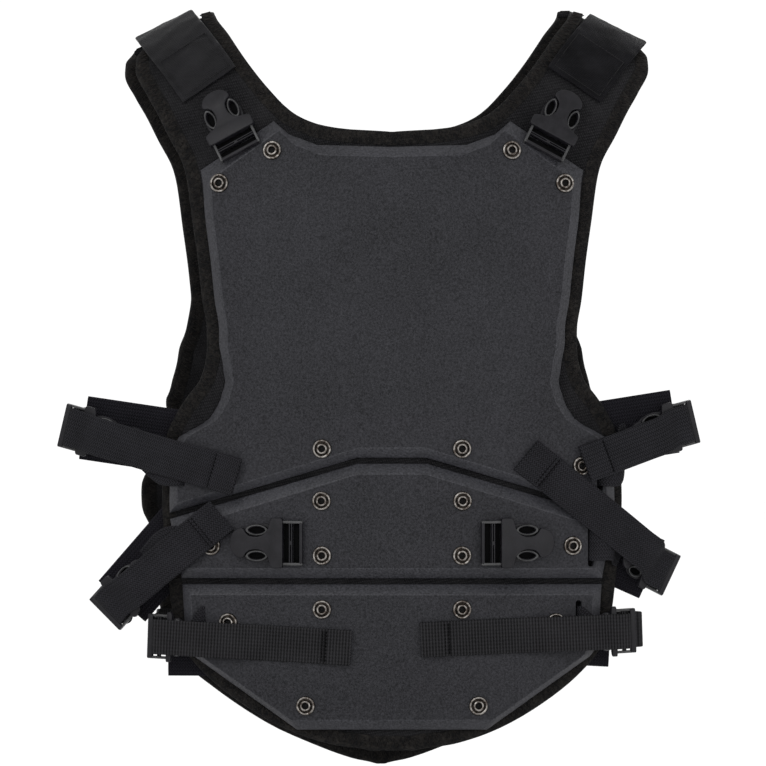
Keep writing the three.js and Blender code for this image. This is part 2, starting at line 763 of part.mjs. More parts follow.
// The buckle's own frame: X outward to the ladder bar, Y across, Z away from the body
function sideFrame(row) {
  const overPlate = row.slot === 'lower';
  const bar = inFront(row, row.barOut, row.barDown);
  const baseLift = overPlate ? plateTop + facetClearance : neopreneThick + facetClearance;
  const matrix = frameAt(-1, bar.x, bar.y, baseLift, turned(row, row.turn));
  return {
    overPlate,
    bar,
    baseLift,
    matrix,
    length: row.length * sideBuckleLength,
    wide: new THREE.Vector3().setFromMatrixColumn(matrix, 1),
    outward: new THREE.Vector3().setFromMatrixColumn(matrix, 0),
    local: (along, up) => new THREE.Vector3(along, 0, up).applyMatrix4(matrix),
  };
}

// Through the plate's slot, over the plate's edge and up to the buckle's head
function anchorWeb(row, frame) {
  const slot = slots[row.slot];
  const v = -slotDrop(slot);
  const x = row.hand * slotHalf(slot);
  const upright = new THREE.Vector3(0, 0, Math.sign(frame.wide.z));
  const lift = plateTop + clearance + webSag + webThick / 2;
  const buttUp = webThick / 2 + clearance;
  const stations = [
    { point: onForm(-1, x, v, plateLift + webThick / 2), wide: upright },
    { point: onForm(-1, x, v, plateTop - 0.6), wide: upright },
    { point: onForm(-1, x + row.hand * 1.6, v, lift), wide: upright },
  ];
  if (!frame.overPlate) {
    const edge = row.hand * (plates[slot.plate].half(v) + 1);
    stations.push({ point: onForm(-1, edge, v, lift), wide: upright.clone().lerp(frame.wide, 0.3) });
    stations.push({ point: frame.local(-frame.length - 4, buttUp + 1), wide: frame.wide });
  }
  stations.push({ point: frame.local(-frame.length - 0.6, buttUp), wide: frame.wide });
  return webGeometry(stations, webWidth - 3, webThick);
}

// Backing flap, from inside the carrier's edge outward
function sideFlap(row) {
  const end = inFront(row, row.flapOut, row.flapDown);
  const angle = THREE.MathUtils.degToRad(turned(row, row.flapTurn));
  const heading = new THREE.Vector2(Math.cos(angle), Math.sin(angle));
  const run = (Math.abs(end.x) - sideAt(end.y)) / Math.abs(heading.x) + flapLap;
  const stations = [];
  for (let k = 0; k <= flapSteps; k += 1) {
    const at = end.clone().addScaledVector(heading, (-run * k) / flapSteps);
    stations.push({
      point: onForm(-1, at.x, at.y, -facetClearance - flapThick / 2),
      wide: wideOnForm(-1, at.x, at.y, heading.x, heading.y, flapWidth),
    });
  }
  return webGeometry(stations, flapWidth, flapThick);
}

// Tail on the plate, over the ladder, down its outer slot and round to the back panel
function sideStrap(row, frame) {
  const { local, wide, outward, length, bar } = frame;
  const width = frame.overPlate ? lowerWebWidth : webWidth;
  const tailDrop = frame.overPlate ? hemSnapFoot + width / 2 + row.tailUnder : row.tailDown * vestHeight;
  const tail = new THREE.Vector2(row.hand * row.tailOut * waistHalf, -tailDrop);
  const run = bar.clone().sub(tail);
  const reach = run.length();
  const top = sideBuckleThick + 2 * clearance + webThick / 2;
  const ladder = 2 * barThick + 2 * barGap;
  const slotMid = -barThick - barGap / 2;
  const overLift = Math.max(crossLift, frame.baseLift + top);
  const stations = [];
  const lastShare = 1 - (0.55 * length) / reach;
  const climbShare = Math.min(lastShare, 1 - (length + tailStep) / reach);
  const steps = Math.ceil((reach * lastShare) / tailStep);
  for (let k = 0; k <= steps; k += 1) {
    const share = (lastShare * k) / steps;
    const at = tail.clone().addScaledVector(run, share);
    const rise = THREE.MathUtils.smoothstep(share, row.rest, row.rest + 0.1);
    const climb = THREE.MathUtils.smoothstep(share, row.rest + 0.1, climbShare);
    const lift = tailLift + (crossLift - tailLift) * rise + (overLift - crossLift) * climb;
    const across = wideOnForm(-1, at.x, at.y, run.x, run.y, width);
    stations.push({ point: onForm(-1, at.x, at.y, lift), wide: across });
  }
  const tailWide = stations[steps].wide;
  if (tailWide.dot(wide) < 0) stations.forEach((station) => station.wide.negate());
  stations.push({ point: local(-ladder - 1, top + 0.4), wide: tailWide.clone().lerp(wide, 0.6) });
  stations.push({ point: local(slotMid - 3.4, top + 0.2), wide });
  stations.push({ point: local(slotMid - 1, top - 0.3), wide });
  stations.push({ point: local(slotMid, top - 1.6), wide });
  stations.push({ point: local(slotMid, -1), wide });
  stations.push({ point: local(slotMid + 1.4 + row.bulge, -5), wide });
  const rearV = -row.rearDown * vestHeight;
  const rearEdge = row.hand * (sideAt(rearV) - 4) + backShift;
  const rearWide = new THREE.Vector3(0, 0, Math.sign(wide.z));
  const rearLift = -facetClearance - clearance - webThick / 2;
  const bend = local(slotMid + row.bulge * 0.9, -16);
  const rearOut = onForm(1, rearEdge + row.hand * rearWidth, rearV, rearLift - 7);
  stations.push({ point: bend, wide: wide.clone().lerp(rearWide, 0.1) });
  for (const share of [0.33, 0.66]) {
    const point = bend.clone().lerp(rearOut, share).addScaledVector(outward, 6 * (1 - share));
    stations.push({ point, wide: wide.clone().lerp(rearWide, 0.1 + 0.8 * share) });
  }
  stations.push({ point: rearOut, wide: rearWide });
  stations.push({ point: onForm(1, rearEdge, rearV, rearLift - 0.6), wide: rearWide });
  stations.push({ point: onForm(1, rearEdge - row.hand * rearLap, rearV, rearLift), wide: rearWide });
  return webGeometry(stations, width, webThick);
}

for (const row of sideStraps) {
  const frame = sideFrame(row);
  const buckle = buckleGeometry(frame.length, sideBuckleThick, buckleWidth);
  buckle.translate(-frame.length, 0, 0);
  place(addMesh(`side_buckle_${row.name}`, buckle, 'plastic'), frame.matrix);
  addMesh(`anchor_web_${row.name}`, anchorWeb(row, frame), 'webbing');
  addMesh(`side_flap_${row.name}`, sideFlap(row), 'webbing');
  addMesh(`side_strap_${row.name}`, sideStrap(row, frame), 'webbing');
}

export default vest;
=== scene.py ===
import math

import bmesh
import bpy
from mathutils import Matrix, Vector


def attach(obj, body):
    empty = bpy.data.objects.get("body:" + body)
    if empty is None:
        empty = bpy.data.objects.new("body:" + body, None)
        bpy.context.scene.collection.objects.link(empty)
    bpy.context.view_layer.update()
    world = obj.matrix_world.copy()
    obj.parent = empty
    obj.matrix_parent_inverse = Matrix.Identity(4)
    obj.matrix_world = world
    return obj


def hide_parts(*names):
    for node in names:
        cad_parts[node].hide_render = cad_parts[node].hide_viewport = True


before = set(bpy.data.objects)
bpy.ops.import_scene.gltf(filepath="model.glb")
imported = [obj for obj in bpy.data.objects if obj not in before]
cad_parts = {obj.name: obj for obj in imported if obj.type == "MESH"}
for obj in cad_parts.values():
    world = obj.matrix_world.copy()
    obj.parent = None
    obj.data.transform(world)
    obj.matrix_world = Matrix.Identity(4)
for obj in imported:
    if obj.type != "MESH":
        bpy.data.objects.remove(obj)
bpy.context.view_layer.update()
scene = bpy.context.scene


def addObject(name, data):
    item = bpy.data.objects.new(name, data)
    scene.collection.objects.link(item)
    return item


# Camera, straight from the front with a long lens
cameraSettings = {
    "x": -0.007, "z": -0.270, "plane": -0.108, "distance": 20.0, "width": 0.5975, "sensor": 36.0,
    "clip": 200.0,
}


def makeCamera(s):
    data = bpy.data.cameras.new("camera")
    data.sensor_width = s["sensor"]
    data.lens = s["sensor"] * s["distance"] / s["width"]
    data.clip_end = s["clip"]
    camera = addObject("camera", data)
    camera.location = (s["x"], s["plane"] - s["distance"], s["z"])
    camera.rotation_euler = (math.pi / 2, 0.0, 0.0)
    scene.camera = camera


makeCamera(cameraSettings)
print("camera ready")


# Shader building
class Signal:
    # one output socket with the usual arithmetic
    def __init__(self, finish, socket):
        self.finish = finish
        self.socket = socket

    def math(self, operation, other=None, swapped=False):
        values = (other, self) if swapped else (self, other)
        sockets = {i: v for i, v in enumerate(values) if v is not None}
        return self.finish.node("ShaderNodeMath", {"operation": operation}, sockets)

    def __add__(self, other):
        return self.math("ADD", other)

    def __radd__(self, other):
        return self.math("ADD", other)

    def __sub__(self, other):
        return self.math("SUBTRACT", other)

    def __rsub__(self, other):
        return self.math("SUBTRACT", other, swapped=True)

    def __mul__(self, other):
        return self.math("MULTIPLY", other)

    def __rmul__(self, other):
        return self.math("MULTIPLY", other)

    def __truediv__(self, other):
        return self.math("DIVIDE", other)

    def __rtruediv__(self, other):
        return self.math("DIVIDE", other, swapped=True)

    def sine(self):
        return self.math("SINE")

    def absolute(self):
        return self.math("ABSOLUTE")

    def wave(self, period):
        return (self * (2 * math.pi / period)).sine() * 0.5 + 0.5

    def saw(self, period):
        return (self / period).math("FRACT")


class Finish:
    # a material with its nodes
    def __init__(self, name):
        self.material = bpy.data.materials.new(name)
        self.material.use_nodes = True
        self.tree = self.material.node_tree
        self.tree.nodes.clear()

    def node(self, kind, settings=None, sockets=None, output=0):
        node = self.tree.nodes.new(kind)
        for key, value in (settings or {}).items():
            if key == "stops":
                while len(node.color_ramp.elements) < len(value):
                    node.color_ramp.elements.new(0.5)
                for element, (position, colour) in zip(node.color_ramp.elements, value):
                    element.position = position
                    element.color = colour
            else:
                setattr(node, key, value)
        for key, value in (sockets or {}).items():
            if isinstance(value, Signal):
                self.tree.links.new(value.socket, node.inputs[key])
            else:
                node.inputs[key].default_value = value
        return Signal(self, node.outputs[output]) if node.outputs else None

    def place(self):
        return self.node("ShaderNodeTexCoord", output="Object")

    def noise(self, vector, scale, detail=2.0, roughness=0.5):
        sockets = {"Vector": vector, "Scale": scale, "Detail": detail, "Roughness": roughness}
        return self.node("ShaderNodeTexNoise", None, sockets, "Fac")

    def split(self, vector):
        kind = "ShaderNodeSeparateXYZ"
        return [self.node(kind, None, {0: vector}, i) for i in range(3)]

    def squeezed(self, vector, sizes):
        return self.node("ShaderNodeMapping", {"vector_type": "POINT"}, {"Vector": vector, "Scale": sizes})

    def mixColour(self, factor, first, second):
        settings = {"data_type": "RGBA", "clamp_factor": True}
        return self.node("ShaderNodeMix", settings, {0: factor, 6: first, 7: second}, 2)

    def stretch(self, value, low, high, toLow=0.0, toHigh=1.0):
        sockets = {0: value, 1: low, 2: high, 3: toLow, 4: toHigh}
        return self.node("ShaderNodeMapRange", {"clamp": True}, sockets)

    def bump(self, height, strength, distance, normal=None):
        sockets = {"Height": height, "Strength": strength, "Distance": distance}
        if normal is not None:
            sockets["Normal"] = normal
        return self.node("ShaderNodeBump", None, sockets)

    def done(self, sockets):
        shader = self.node("ShaderNodeBsdfPrincipled", None, sockets)
        self.node("ShaderNodeOutputMaterial", None, {"Surface": shader})
        return self.material


foamLook = {
    "dark": (0.0024, 0.0025, 0.0034, 1), "light": (0.0252, 0.0252, 0.0290, 1),
    "grain": 620.0, "pores": 1300.0, "blotch": 14.0, "scuff": (900.0, 900.0, 36.0),
}
neopreneLook = {
    "dark": (0.0016, 0.0016, 0.0020, 1), "light": (0.0215, 0.0210, 0.0225, 1),
    "knit": 1.8, "fuzz": 620.0, "patches": 26.0,
}
edgingLook = {
    "dark": (0.0018, 0.0018, 0.0021, 1), "brown": (0.0150, 0.0134, 0.0120, 1),
    "fuzz": 560.0, "patches": 110.0,
}
nylon = {"fuzz": 900.0, "patches": 45.0, "cloud": 0.35}
webLook = nylon | {
    "dark": (0.0008, 0.0008, 0.0011, 1), "light": (0.0165, 0.0162, 0.0195, 1),
    "rib": 2.0, "cord": 3.0, "warp": 0.2, "slant": 1.1,
}
ribLook = nylon | {
    "dark": (0.0008, 0.0008, 0.0010, 1), "light": (0.0172, 0.0168, 0.0186, 1),
    "rib": 2.4, "cord": 2.8, "warp": 0.22, "slant": 0.1,
}
shoulderLook = nylon | {
    "dark": (0.0006, 0.0006, 0.0009, 1), "light": (0.0100, 0.0097, 0.0116, 1),
    "rib": 1.5, "cord": 1.7, "warp": 0.15, "slant": 1.1, "cloud": 0.95,
}
flapLook = nylon | {
    "dark": (0.0030, 0.0029, 0.0038, 1), "light": (0.0125, 0.0120, 0.0150, 1),
    "rib": 2.2, "cord": 2.6, "warp": 0.35, "slant": 1.1,
}
plasticLook = {"colour": (0.0036, 0.0034, 0.0046, 1), "wearAndSheen": (0.0100, 0.0094, 0.0118, 1)}
# the rim plastic is paler than the body plastic: a painted highlight on the eye rings' tops and the ladder
# rails
rimHighlightLook = {"colour": (0.0130, 0.0130, 0.0138, 1), "wearAndSheen": (0.0400, 0.0400, 0.0410, 1)}
nickelLook = {"colour": (0.215, 0.203, 0.190, 1), "tarnish": (0.050, 0.041, 0.035, 1)}
grooveLook = {"colour": (0.040, 0.032, 0.026, 1), "tarnish": (0.010, 0.009, 0.008, 1)}
wear = {"haze": 120.0, "grit": 1500.0, "stain": 300.0, "fine": 1800.0, "plain": 500.0}  # noise scales


def tinted(colour, lift):
    return tuple(c * lift for c in colour[:3]) + (1,)


def foamFinish(name, s, lift, rough, gloss):
    f = Finish(name)
    place = f.place()
    grain = f.noise(place, s["grain"], 3.0, 0.75)
    pores = f.noise(place, s["pores"], 2.0, 0.6)
    blotch = f.noise(place, s["blotch"], 4.0, 0.55)
    tone = f.stretch(grain * 0.65 + pores * 0.35, 0.38, 0.62) * 0.8 + f.stretch(blotch, 0.35, 0.65) * 0.2
    scuff = f.stretch(f.noise(f.squeezed(place, s["scuff"]), 1.0, 2.0, 0.5), 0.71, 0.78) * 0.25
    # lift scales the base colour; above 1 it lightens it as a painted highlight
    colour = f.mixColour(tone, tinted(s["dark"], lift), tinted(s["light"], lift))
    wearAndSheen = f.mixColour(scuff, colour, tinted(s["light"], 2.2))
    return f.done({
        "Base Color": wearAndSheen, "Roughness": f.stretch(blotch, 0.3, 0.7, rough - 0.06, rough + 0.06),
        "Normal": f.bump(grain * 0.6 + pores * 0.4, 0.35, 0.0006), "Specular IOR Level": gloss,
    })


def neopreneFinish(name, s):
    f = Finish(name)
    place = f.place()
    x, _, z = f.split(place)
    knit = s["knit"] * 0.001
    loops = (x + z * 0.5).wave(knit) * (z - x * 0.2).wave(knit * 1.3)
    fuzz = f.noise(place, s["fuzz"], 3.0, 0.7)
    patches = f.noise(place, s["patches"], 3.0, 0.55)
    tone = loops * 0.3 + fuzz * 0.6 + patches * 0.5
    colour = f.mixColour(f.stretch(tone, 0.45, 1.1), s["dark"], s["light"])
    return f.done({
        "Base Color": colour, "Roughness": 0.95, "Specular IOR Level": 0.1,
        "Normal": f.bump(loops * 0.6 + fuzz, 0.6, 0.0006),
    })


def edgingFinish(name, s):
    f = Finish(name)
    place = f.place()
    fuzz = f.noise(place, s["fuzz"], 3.0, 0.75)
    patches = f.noise(place, s["patches"], 3.0, 0.6)
    colour = f.mixColour(f.stretch(fuzz * 0.65 + patches * 0.35, 0.44, 0.66), s["dark"], s["brown"])
    return f.done({
        "Base Color": colour, "Roughness": 0.92, "Specular IOR Level": 0.12,
        "Normal": f.bump(fuzz, 0.8, 0.0008),
    })


def webFinish(name, s, rough=0.7, gloss=0.09):
    # UV is in millimetres: along the strap, then across it
    f = Finish(name)
    along, across, _ = f.split(f.node("ShaderNodeTexCoord", output="UV"))
    place = f.place()
    fuzz = f.noise(place, s["fuzz"], 2.0, 0.65)
    slant = across.saw(s["cord"]) - 0.5
    twill = (along + slant.absolute() * (s["slant"] * s["cord"])).wave(s["rib"])
    cords = across.wave(s["cord"])
    weave = twill * (1 - s["warp"]) + cords * s["warp"]
    patches = f.noise(place, s["patches"], 2.0, 0.5)
    cloud = s["cloud"]
    tone = f.stretch(weave * 0.62 + fuzz * 0.45 + patches * cloud, 0.175 + 0.5 * cloud, 0.925 + 0.5 * cloud)
    return f.done({
        "Base Color": f.mixColour(tone, s["dark"], s["light"]),
        "Roughness": f.stretch(weave, 0.0, 1.0, rough + 0.12, rough - 0.06), "Specular IOR Level": gloss,
        "Normal": f.bump(weave + fuzz * 0.35, 0.85, 0.0007),
    })


def plasticFinish(name, s, rough, gloss):
    f = Finish(name)
    place = f.place()
    haze = f.noise(place, wear["haze"], 3.0, 0.6)
    grit = f.noise(place, wear["grit"], 2.0, 0.6)
    colour = f.mixColour(f.stretch(haze * 0.6 + grit * 0.4, 0.4, 0.7), s["colour"], s["wearAndSheen"])
    return f.done({
        "Base Color": colour, "Roughness": f.stretch(haze, 0.3, 0.7, rough - 0.06, rough + 0.08),
        "Specular IOR Level": gloss, "Normal": f.bump(grit, 0.2, 0.0003),
    })


def nickelFinish(name, s, rough):
    f = Finish(name)
    place = f.place()
    stain = f.noise(place, wear["stain"], 4.0, 0.65)
    fine = f.noise(place, wear["fine"], 2.0, 0.5)
    colour = f.mixColour(f.stretch(stain, 0.4, 0.6), s["colour"], s["tarnish"])
    return f.done({
        "Base Color": colour, "Metallic": 1.0, "Normal": f.bump(fine, 0.2, 0.0002),
        "Roughness": f.stretch(stain, 0.3, 0.7, rough - 0.08, rough + 0.14),
    })


def plainFinish(name, colour, rough, gloss=0.2):
    f = Finish(name)
    tone = f.stretch(f.noise(f.place(), wear["plain"], 2.0, 0.5), 0.3, 0.7)
    mixed = f.mixColour(tone, tinted(colour, 0.6), colour)
    return f.done({"Base Color": mixed, "Roughness": rough, "Specular IOR Level": gloss})


foamFace = foamFinish("foam face", foamLook, 1.0, 0.62, 0.12)
# the bevel foam's base colour is lightened 1.52 times as a painted highlight; its lower roughness and higher
# specular are the pressed bevel's own gloss
foamBevelHighlight = foamFinish("foam bevel with painted highlight", foamLook, 1.52, 0.5, 0.18)
neopreneKnit = neopreneFinish("neoprene knit", neopreneLook)
edgingKnit = edgingFinish("edging", edgingLook)
webNylon = webFinish("nylon webbing", webLook)
webRibbed = webFinish("ribbed webbing", ribLook)
flapNylon = webFinish("flap webbing", flapLook, 0.85, 0.03)
shoulderNylon = webFinish("shoulder webbing", shoulderLook, 0.66, 0.06)
shoulderSheen = webFinish("rubbed shoulder webbing", shoulderLook, 0.48, 0.14)
plasticSatin = plasticFinish("satin plastic", plasticLook, 0.45, 0.17)
plasticRimHighlight = plasticFinish("plastic rim with painted highlight", rimHighlightLook, 0.36, 0.3)
nickelPlate = nickelFinish("nickel", nickelLook, 0.3)
nickelGroove = nickelFinish("nickel groove", grooveLook, 0.45)
# near black in the stud's centre pit: painted shade of the hole
holeShade = plainFinish("stud hole painted shade", (0.0020, 0.0018, 0.0018, 1), 0.6, 0.1)
# near black: painted shade in the buckle windows and under the eyes; also the colour of the side straps'
# seam stitches
shadeAndStitchBlack = plainFinish("painted shade and stitch black", (0.0012, 0.0012, 0.0014, 1), 0.8, 0.05)
threadBrown = plainFinish("overlock thread", (0.0150, 0.0122, 0.0108, 1), 0.8)
threadBlack = plainFinish("black thread", (0.0042, 0.0040, 0.0048, 1), 0.7)
print("finishes ready")

# The body form, in millimetres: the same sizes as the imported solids
form = {
    "height": 556.0, "backDrop": 13.0, "frontDepth": 104.0, "backDepth": 98.0, "arch": 125.0,
    "sweepDrop": 30.3, "sweepReach": 170.0, "bellyTuck": 16.0,
    "shoulder": 200.0, "chest": 158.0, "armpit": 143.0, "waist": 178.0,
    "neckHalf": 139.0, "neckDrop": 78.0, "slope": 0.5, "slopeMid": 172.0,
    "foldGap": 0.9, "backShift": -9.0, "thick": 4.5, "clearance": 0.3, "facetGap": 0.95,
}
sideRows = [
    (0, "shoulder", 0.955), (0.012, "shoulder", 0.99), (0.03, "shoulder", 0.995), (0.072, "shoulder", 0.955),
    (0.104, "shoulder", 0.912), (0.14, "chest", 1.095), (0.178, "chest", 1.025), (0.201, "chest", 1.004),
    (0.257, "chest", 0.977), (0.313, "armpit", 1.049), (0.369, "armpit", 1.025), (0.412, "armpit", 1),
    (0.439, "armpit", 1), (0.48, "armpit", 1.035), (0.502, "waist", 0.882), (0.523, "waist", 0.927),
    (0.565, "waist", 0.983), (0.649, "waist", 1), (0.705, "waist", 0.989), (0.763, "waist", 0.972),
    (0.818, "waist", 0.949), (0.86, "waist", 0.9), (0.896, "waist", 0.805), (0.935, "waist", 0.652),
    (0.971, "waist", 0.455), (0.992, "waist", 0.26), (1, "waist", 0.1),
]
flareRows = [
    (0.36, 0), (0.41, 0.045), (0.44, 0.08), (0.48, 0.09), (0.505, 0.075), (0.54, 0), (0.585, 0),
    (0.63, 0.05), (0.66, 0.045), (0.7, 0), (0.862, 0), (0.89, -0.05), (0.925, -0.09), (0.97, -0.12),
    (1, -0.15), (1.0144, -0.135), (1.0234, -0.075),
]
neckRows = [
    (0, 0), (0.03, 0.27), (0.08, 0.43), (0.18, 0.56), (0.36, 0.68), (0.58, 0.8), (0.83, 0.92), (1, 1),
]
bandRows = [
    (0.189, 1.18), (0.257, 1), (0.34, 0.95), (0.428, 0.92), (0.466, 1.45), (0.495, 2.2), (0.518, 2.65),
    (0.536, 2.6), (0.55, 1.75), (0.565, 0.85), (0.595, 0.65), (0.67, 0.62), (0.76, 1.05), (0.83, 0.8),
    (0.867, 0.4),
]
plate = {
    "thick": 9.0, "band": 11.0, "waistBand": 7.0, "gap": 4.6, "topDrop": 89.0, "tipHalf": 91.0,
    "tipDrop": 71.0, "cornerDrop": 105.0, "chevronDrop": 328.04, "chevronFlat": 27.0, "chevronRise": 43.2,
    "middleFoot": 422.0, "lowerFoot": 539.99, "lowerFootHalf": 73.0, "lowerCorner": 482.0,
    "acrossStep": 0.045, "slotWidth": 5.0, "slotLength": 36.0, "slotDepth": 40.0, "slotRound": 2.2,
}
hands = ((-1, "left"), (1, "right"))  # as the picture shows them
sideTable = [(down * form["height"], form[half] * share) for down, half, share in sideRows]
flareTable = [(down * form["height"], more * form["waist"]) for down, more in flareRows]
neckTable = [(rise * form["neckDrop"], share * form["neckHalf"]) for rise, share in neckRows]
bandTable = [(down * form["height"], share * plate["band"]) for down, share in bandRows]
plateLift = form["thick"] + form["facetGap"]
plateTop = plateLift + plate["thick"]


def readTable(rows, at):
    # monotone cubic through the rows
    if at <= rows[0][0]:
        return rows[0][1]
    if at >= rows[-1][0]:
        return rows[-1][1]
    k = 0
    while rows[k + 1][0] < at:
        k += 1

    def slope(i):
        if i in (0, len(rows) - 1):
            return 0.0
        before = (rows[i][1] - rows[i - 1][1]) / (rows[i][0] - rows[i - 1][0])
        after = (rows[i + 1][1] - rows[i][1]) / (rows[i + 1][0] - rows[i][0])
        return 0.0 if before * after <= 0 else 2 * before * after / (before + after)

    span = rows[k + 1][0] - rows[k][0]
    t = (at - rows[k][0]) / span
    start = rows[k][1] * (2 * t**3 - 3 * t**2 + 1) + slope(k) * span * (t**3 - 2 * t**2 + t)
    return start + rows[k + 1][1] * (3 * t**2 - 2 * t**3) + slope(k + 1) * span * (t**3 - t**2)


def sideAt(v):
    return readTable(sideTable, -v)


def neckAt(v):
    return 0.0 if v <= -form["neckDrop"] else readTable(neckTable, v + form["neckDrop"])


def plateHalf(v):
    return sideAt(v) - readTable(bandTable, -v)


def backOnly(side, key):
    # the back panel sits a little aside and lower than the front one
    return 0.0 if side < 0 else form[key]


def spotAt(hand, out, down):
    # shares of the waist and of the height, in millimetres
    return hand * out * form["waist"], -down * form["height"]


def turned(turn, hand):
    return turn if hand > 0 else 180 - turn


def formPoint(side, x, v):
    depth = form["frontDepth"] if side < 0 else form["backDepth"]
    rise = max(0.0, 1 + v / form["arch"])
    curve = math.sqrt(max(0.0, 1 - rise * rise))
    low = max(0.0, -v - form["arch"]) / (form["height"] - form["arch"])
    out = abs(x)
    inner = min(out, form["sweepReach"])
    reach = form["sweepReach"]
    sweep = form["sweepDrop"] * (inner * inner + 2 * reach * (out - inner)) / reach**2
    lift = form["slope"] * (form["slopeMid"] - max(out, form["neckHalf"]))
    y = (depth - sweep - form["bellyTuck"] * low * low) * curve
    return Vector((x, side * y, v + lift * rise * rise))


def formNormal(side, x, v):
    near = min(v, -0.6)
    across = formPoint(side, x + 0.5, near) - formPoint(side, x - 0.5, near)
    up = formPoint(side, x, near + 0.5) - formPoint(side, x, near - 0.5)
    normal = across.cross(up).normalized()
    return normal if side < 0 else -normal


def onForm(side, x, v, lift):
    return formPoint(side, x, v) + formNormal(side, x, v) * lift


def frameAt(side, x, v, lift, turn=0.0, pitch=0.0):
    normal = formNormal(side, x, v)
    across = Vector((1.0 if side < 0 else -1.0, 0, 0))
    across = (across - normal * across.dot(normal)).normalized()
    up = normal.cross(across)
    angle = math.radians(turn)
    along = across * math.cos(angle) + up * math.sin(angle)
    lean = math.radians(pitch)
    first = along * math.cos(lean) + normal * math.sin(lean)
    third = normal * math.cos(lean) - along * math.sin(lean)
    second = third.cross(first)
    matrix = Matrix((first, second, third)).transposed().to_4x4()
    matrix.translation = onForm(side, x, v, lift)
    return matrix


# Mesh helpers
def gridPiece(bm, columns, rows, place, uvPlace=None, material=0):
    # a grid whose corners run over 0..1 both ways, laid out by place(s, t)
    made = bmesh.ops.create_grid(bm, x_segments=columns, y_segments=rows, size=0.5)["verts"]
    shares = {v: (v.co.x + 0.5, v.co.y + 0.5) for v in made}
    faces = {face for v in made for face in v.link_faces}
    layer = bm.loops.layers.uv.verify()
    for face in faces:
        face.material_index = material
        face.smooth = True
        for loop in face.loops:
            s, t = shares[loop.vert]
            loop[layer].uv = uvPlace(s, t) if uvPlace else (s, t)
    for v, (s, t) in shares.items():
        v.co = place(s, t)
    return made


def closeUp(bm, dist):
    bmesh.ops.remove_doubles(bm, verts=bm.verts[:], dist=dist)
    bmesh.ops.recalc_face_normals(bm, faces=bm.faces[:])


def roundOff(bm, edges, offset, segments, clamp=False):
    bmesh.ops.bevel(bm, geom=edges, offset=offset, segments=segments, profile=0.5, affect="EDGES",
                    material=-1, clamp_overlap=clamp)


def metreMesh(bm, name):
    # ends the bmesh, so far in millimetres
    bmesh.ops.transform(bm, matrix=Matrix.Scale(0.001, 4), verts=bm.verts[:])
    mesh = bpy.data.meshes.new(name)
    bm.to_mesh(mesh)
    bm.free()
    return mesh


def settledMesh(item):
    return bpy.data.meshes.new_from_object(item.evaluated_get(bpy.context.evaluated_depsgraph_get()))


def finishPiece(bm, name, node, materials, sharp=40.0, merge=0.01):
    # turns the mesh into an object of the vest
    if merge:
        closeUp(bm, merge)
    mesh = metreMesh(bm, name)
    for face in mesh.polygons:
        face.use_smooth = True
    mesh.set_sharp_from_angle(angle=math.radians(sharp))
    for material in materials:
        mesh.materials.append(material)
    return showPiece(mesh, name, node)


def showPiece(mesh, name, node):
    piece = addObject(name, mesh)
    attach(piece, "root")
    if node:
        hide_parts(node)
    return piece


def threadPiece(name, lines, radius, material):
    # sewing thread along lines of points, as one mesh
    curve = bpy.data.curves.new(name, "CURVE")
    curve.dimensions = "3D"
    curve.bevel_depth = radius * 0.001
    curve.bevel_resolution = 0
    curve.use_fill_caps = True
    for line in lines:
        spline = curve.splines.new("POLY")
        spline.points.add(len(line) - 1)
        for point, co in zip(spline.points, line):
            point.co = (*(co * 0.001), 1)
    holder = addObject(name + "_curve", curve)
    mesh = settledMesh(holder)
    bpy.data.objects.remove(holder)
    mesh.name = name
    for face in mesh.polygons:
        face.use_smooth = True
    mesh.materials.clear()
    mesh.materials.append(material)
    showPiece(mesh, name, None)


# Neoprene panels
panel = {
    "columns": 30, "rowStep": 5.0, "footRows": 14, "footStep": 0.13, "neckRows": 12, "neckStep": 0.12,
    "archRows": 26, "edgeBand": 11.0, "edgeLift": 0.45, "edgeStep": 3.0, "hemHalf": 60.0,
    "stitchStep": 2.5, "stitchIn": (2.2, 9.4), "threadRadius": 0.42, "blank": (0.41, 0.62),
}


def panelLevels(drop):
    # heights of the rows, from the foot over the arch to the shoulder's top
    foot = form["height"] + drop
    levels = [-foot + panel["footStep"] * k * k for k in range(panel["footRows"])]
    stop = -form["neckDrop"]
    count = round((stop - levels[-1]) / panel["rowStep"])
    first = levels[-1]
    levels += [first + (stop - first) * k / count for k in range(1, count + 1)]
    levels += [stop + panel["neckStep"] * k * k for k in range(1, panel["neckRows"])]
    start = math.asin(1 + levels[-1] / form["arch"])
    end = math.acos(form["foldGap"] / form["frontDepth"])
    rows = panel["archRows"]
    levels += [-form["arch"] * (1 - math.sin(start + (end - start) * k / rows)) for k in range(1, rows + 1)]
    return levels


def panelEdge(side, v):
    stretched = v * form["height"] / (form["height"] + backOnly(side, "backDrop"))
    return sideAt(stretched) + (0.0 if side < 0 else readTable(flareTable, -v))


def evenMarks(flat, solid, step):
    # flat marks at even steps of the solid line that goes with them
    runs = [0.0]
    for before, after in zip(solid, solid[1:]):
        runs.append(runs[-1] + (after - before).length)
    count = max(2, round(runs[-1] / step))
    result = []
    k = 0
    for i in range(count + 1):
        want = runs[-1] * i / count
        while k + 2 < len(runs) and runs[k + 1] < want:
            k += 1
        share = (want - runs[k]) / max(runs[k + 1] - runs[k], 1e-9)
        result.append(flat[k].lerp(flat[k + 1], min(max(share, 0.0), 1.0)))
    return result


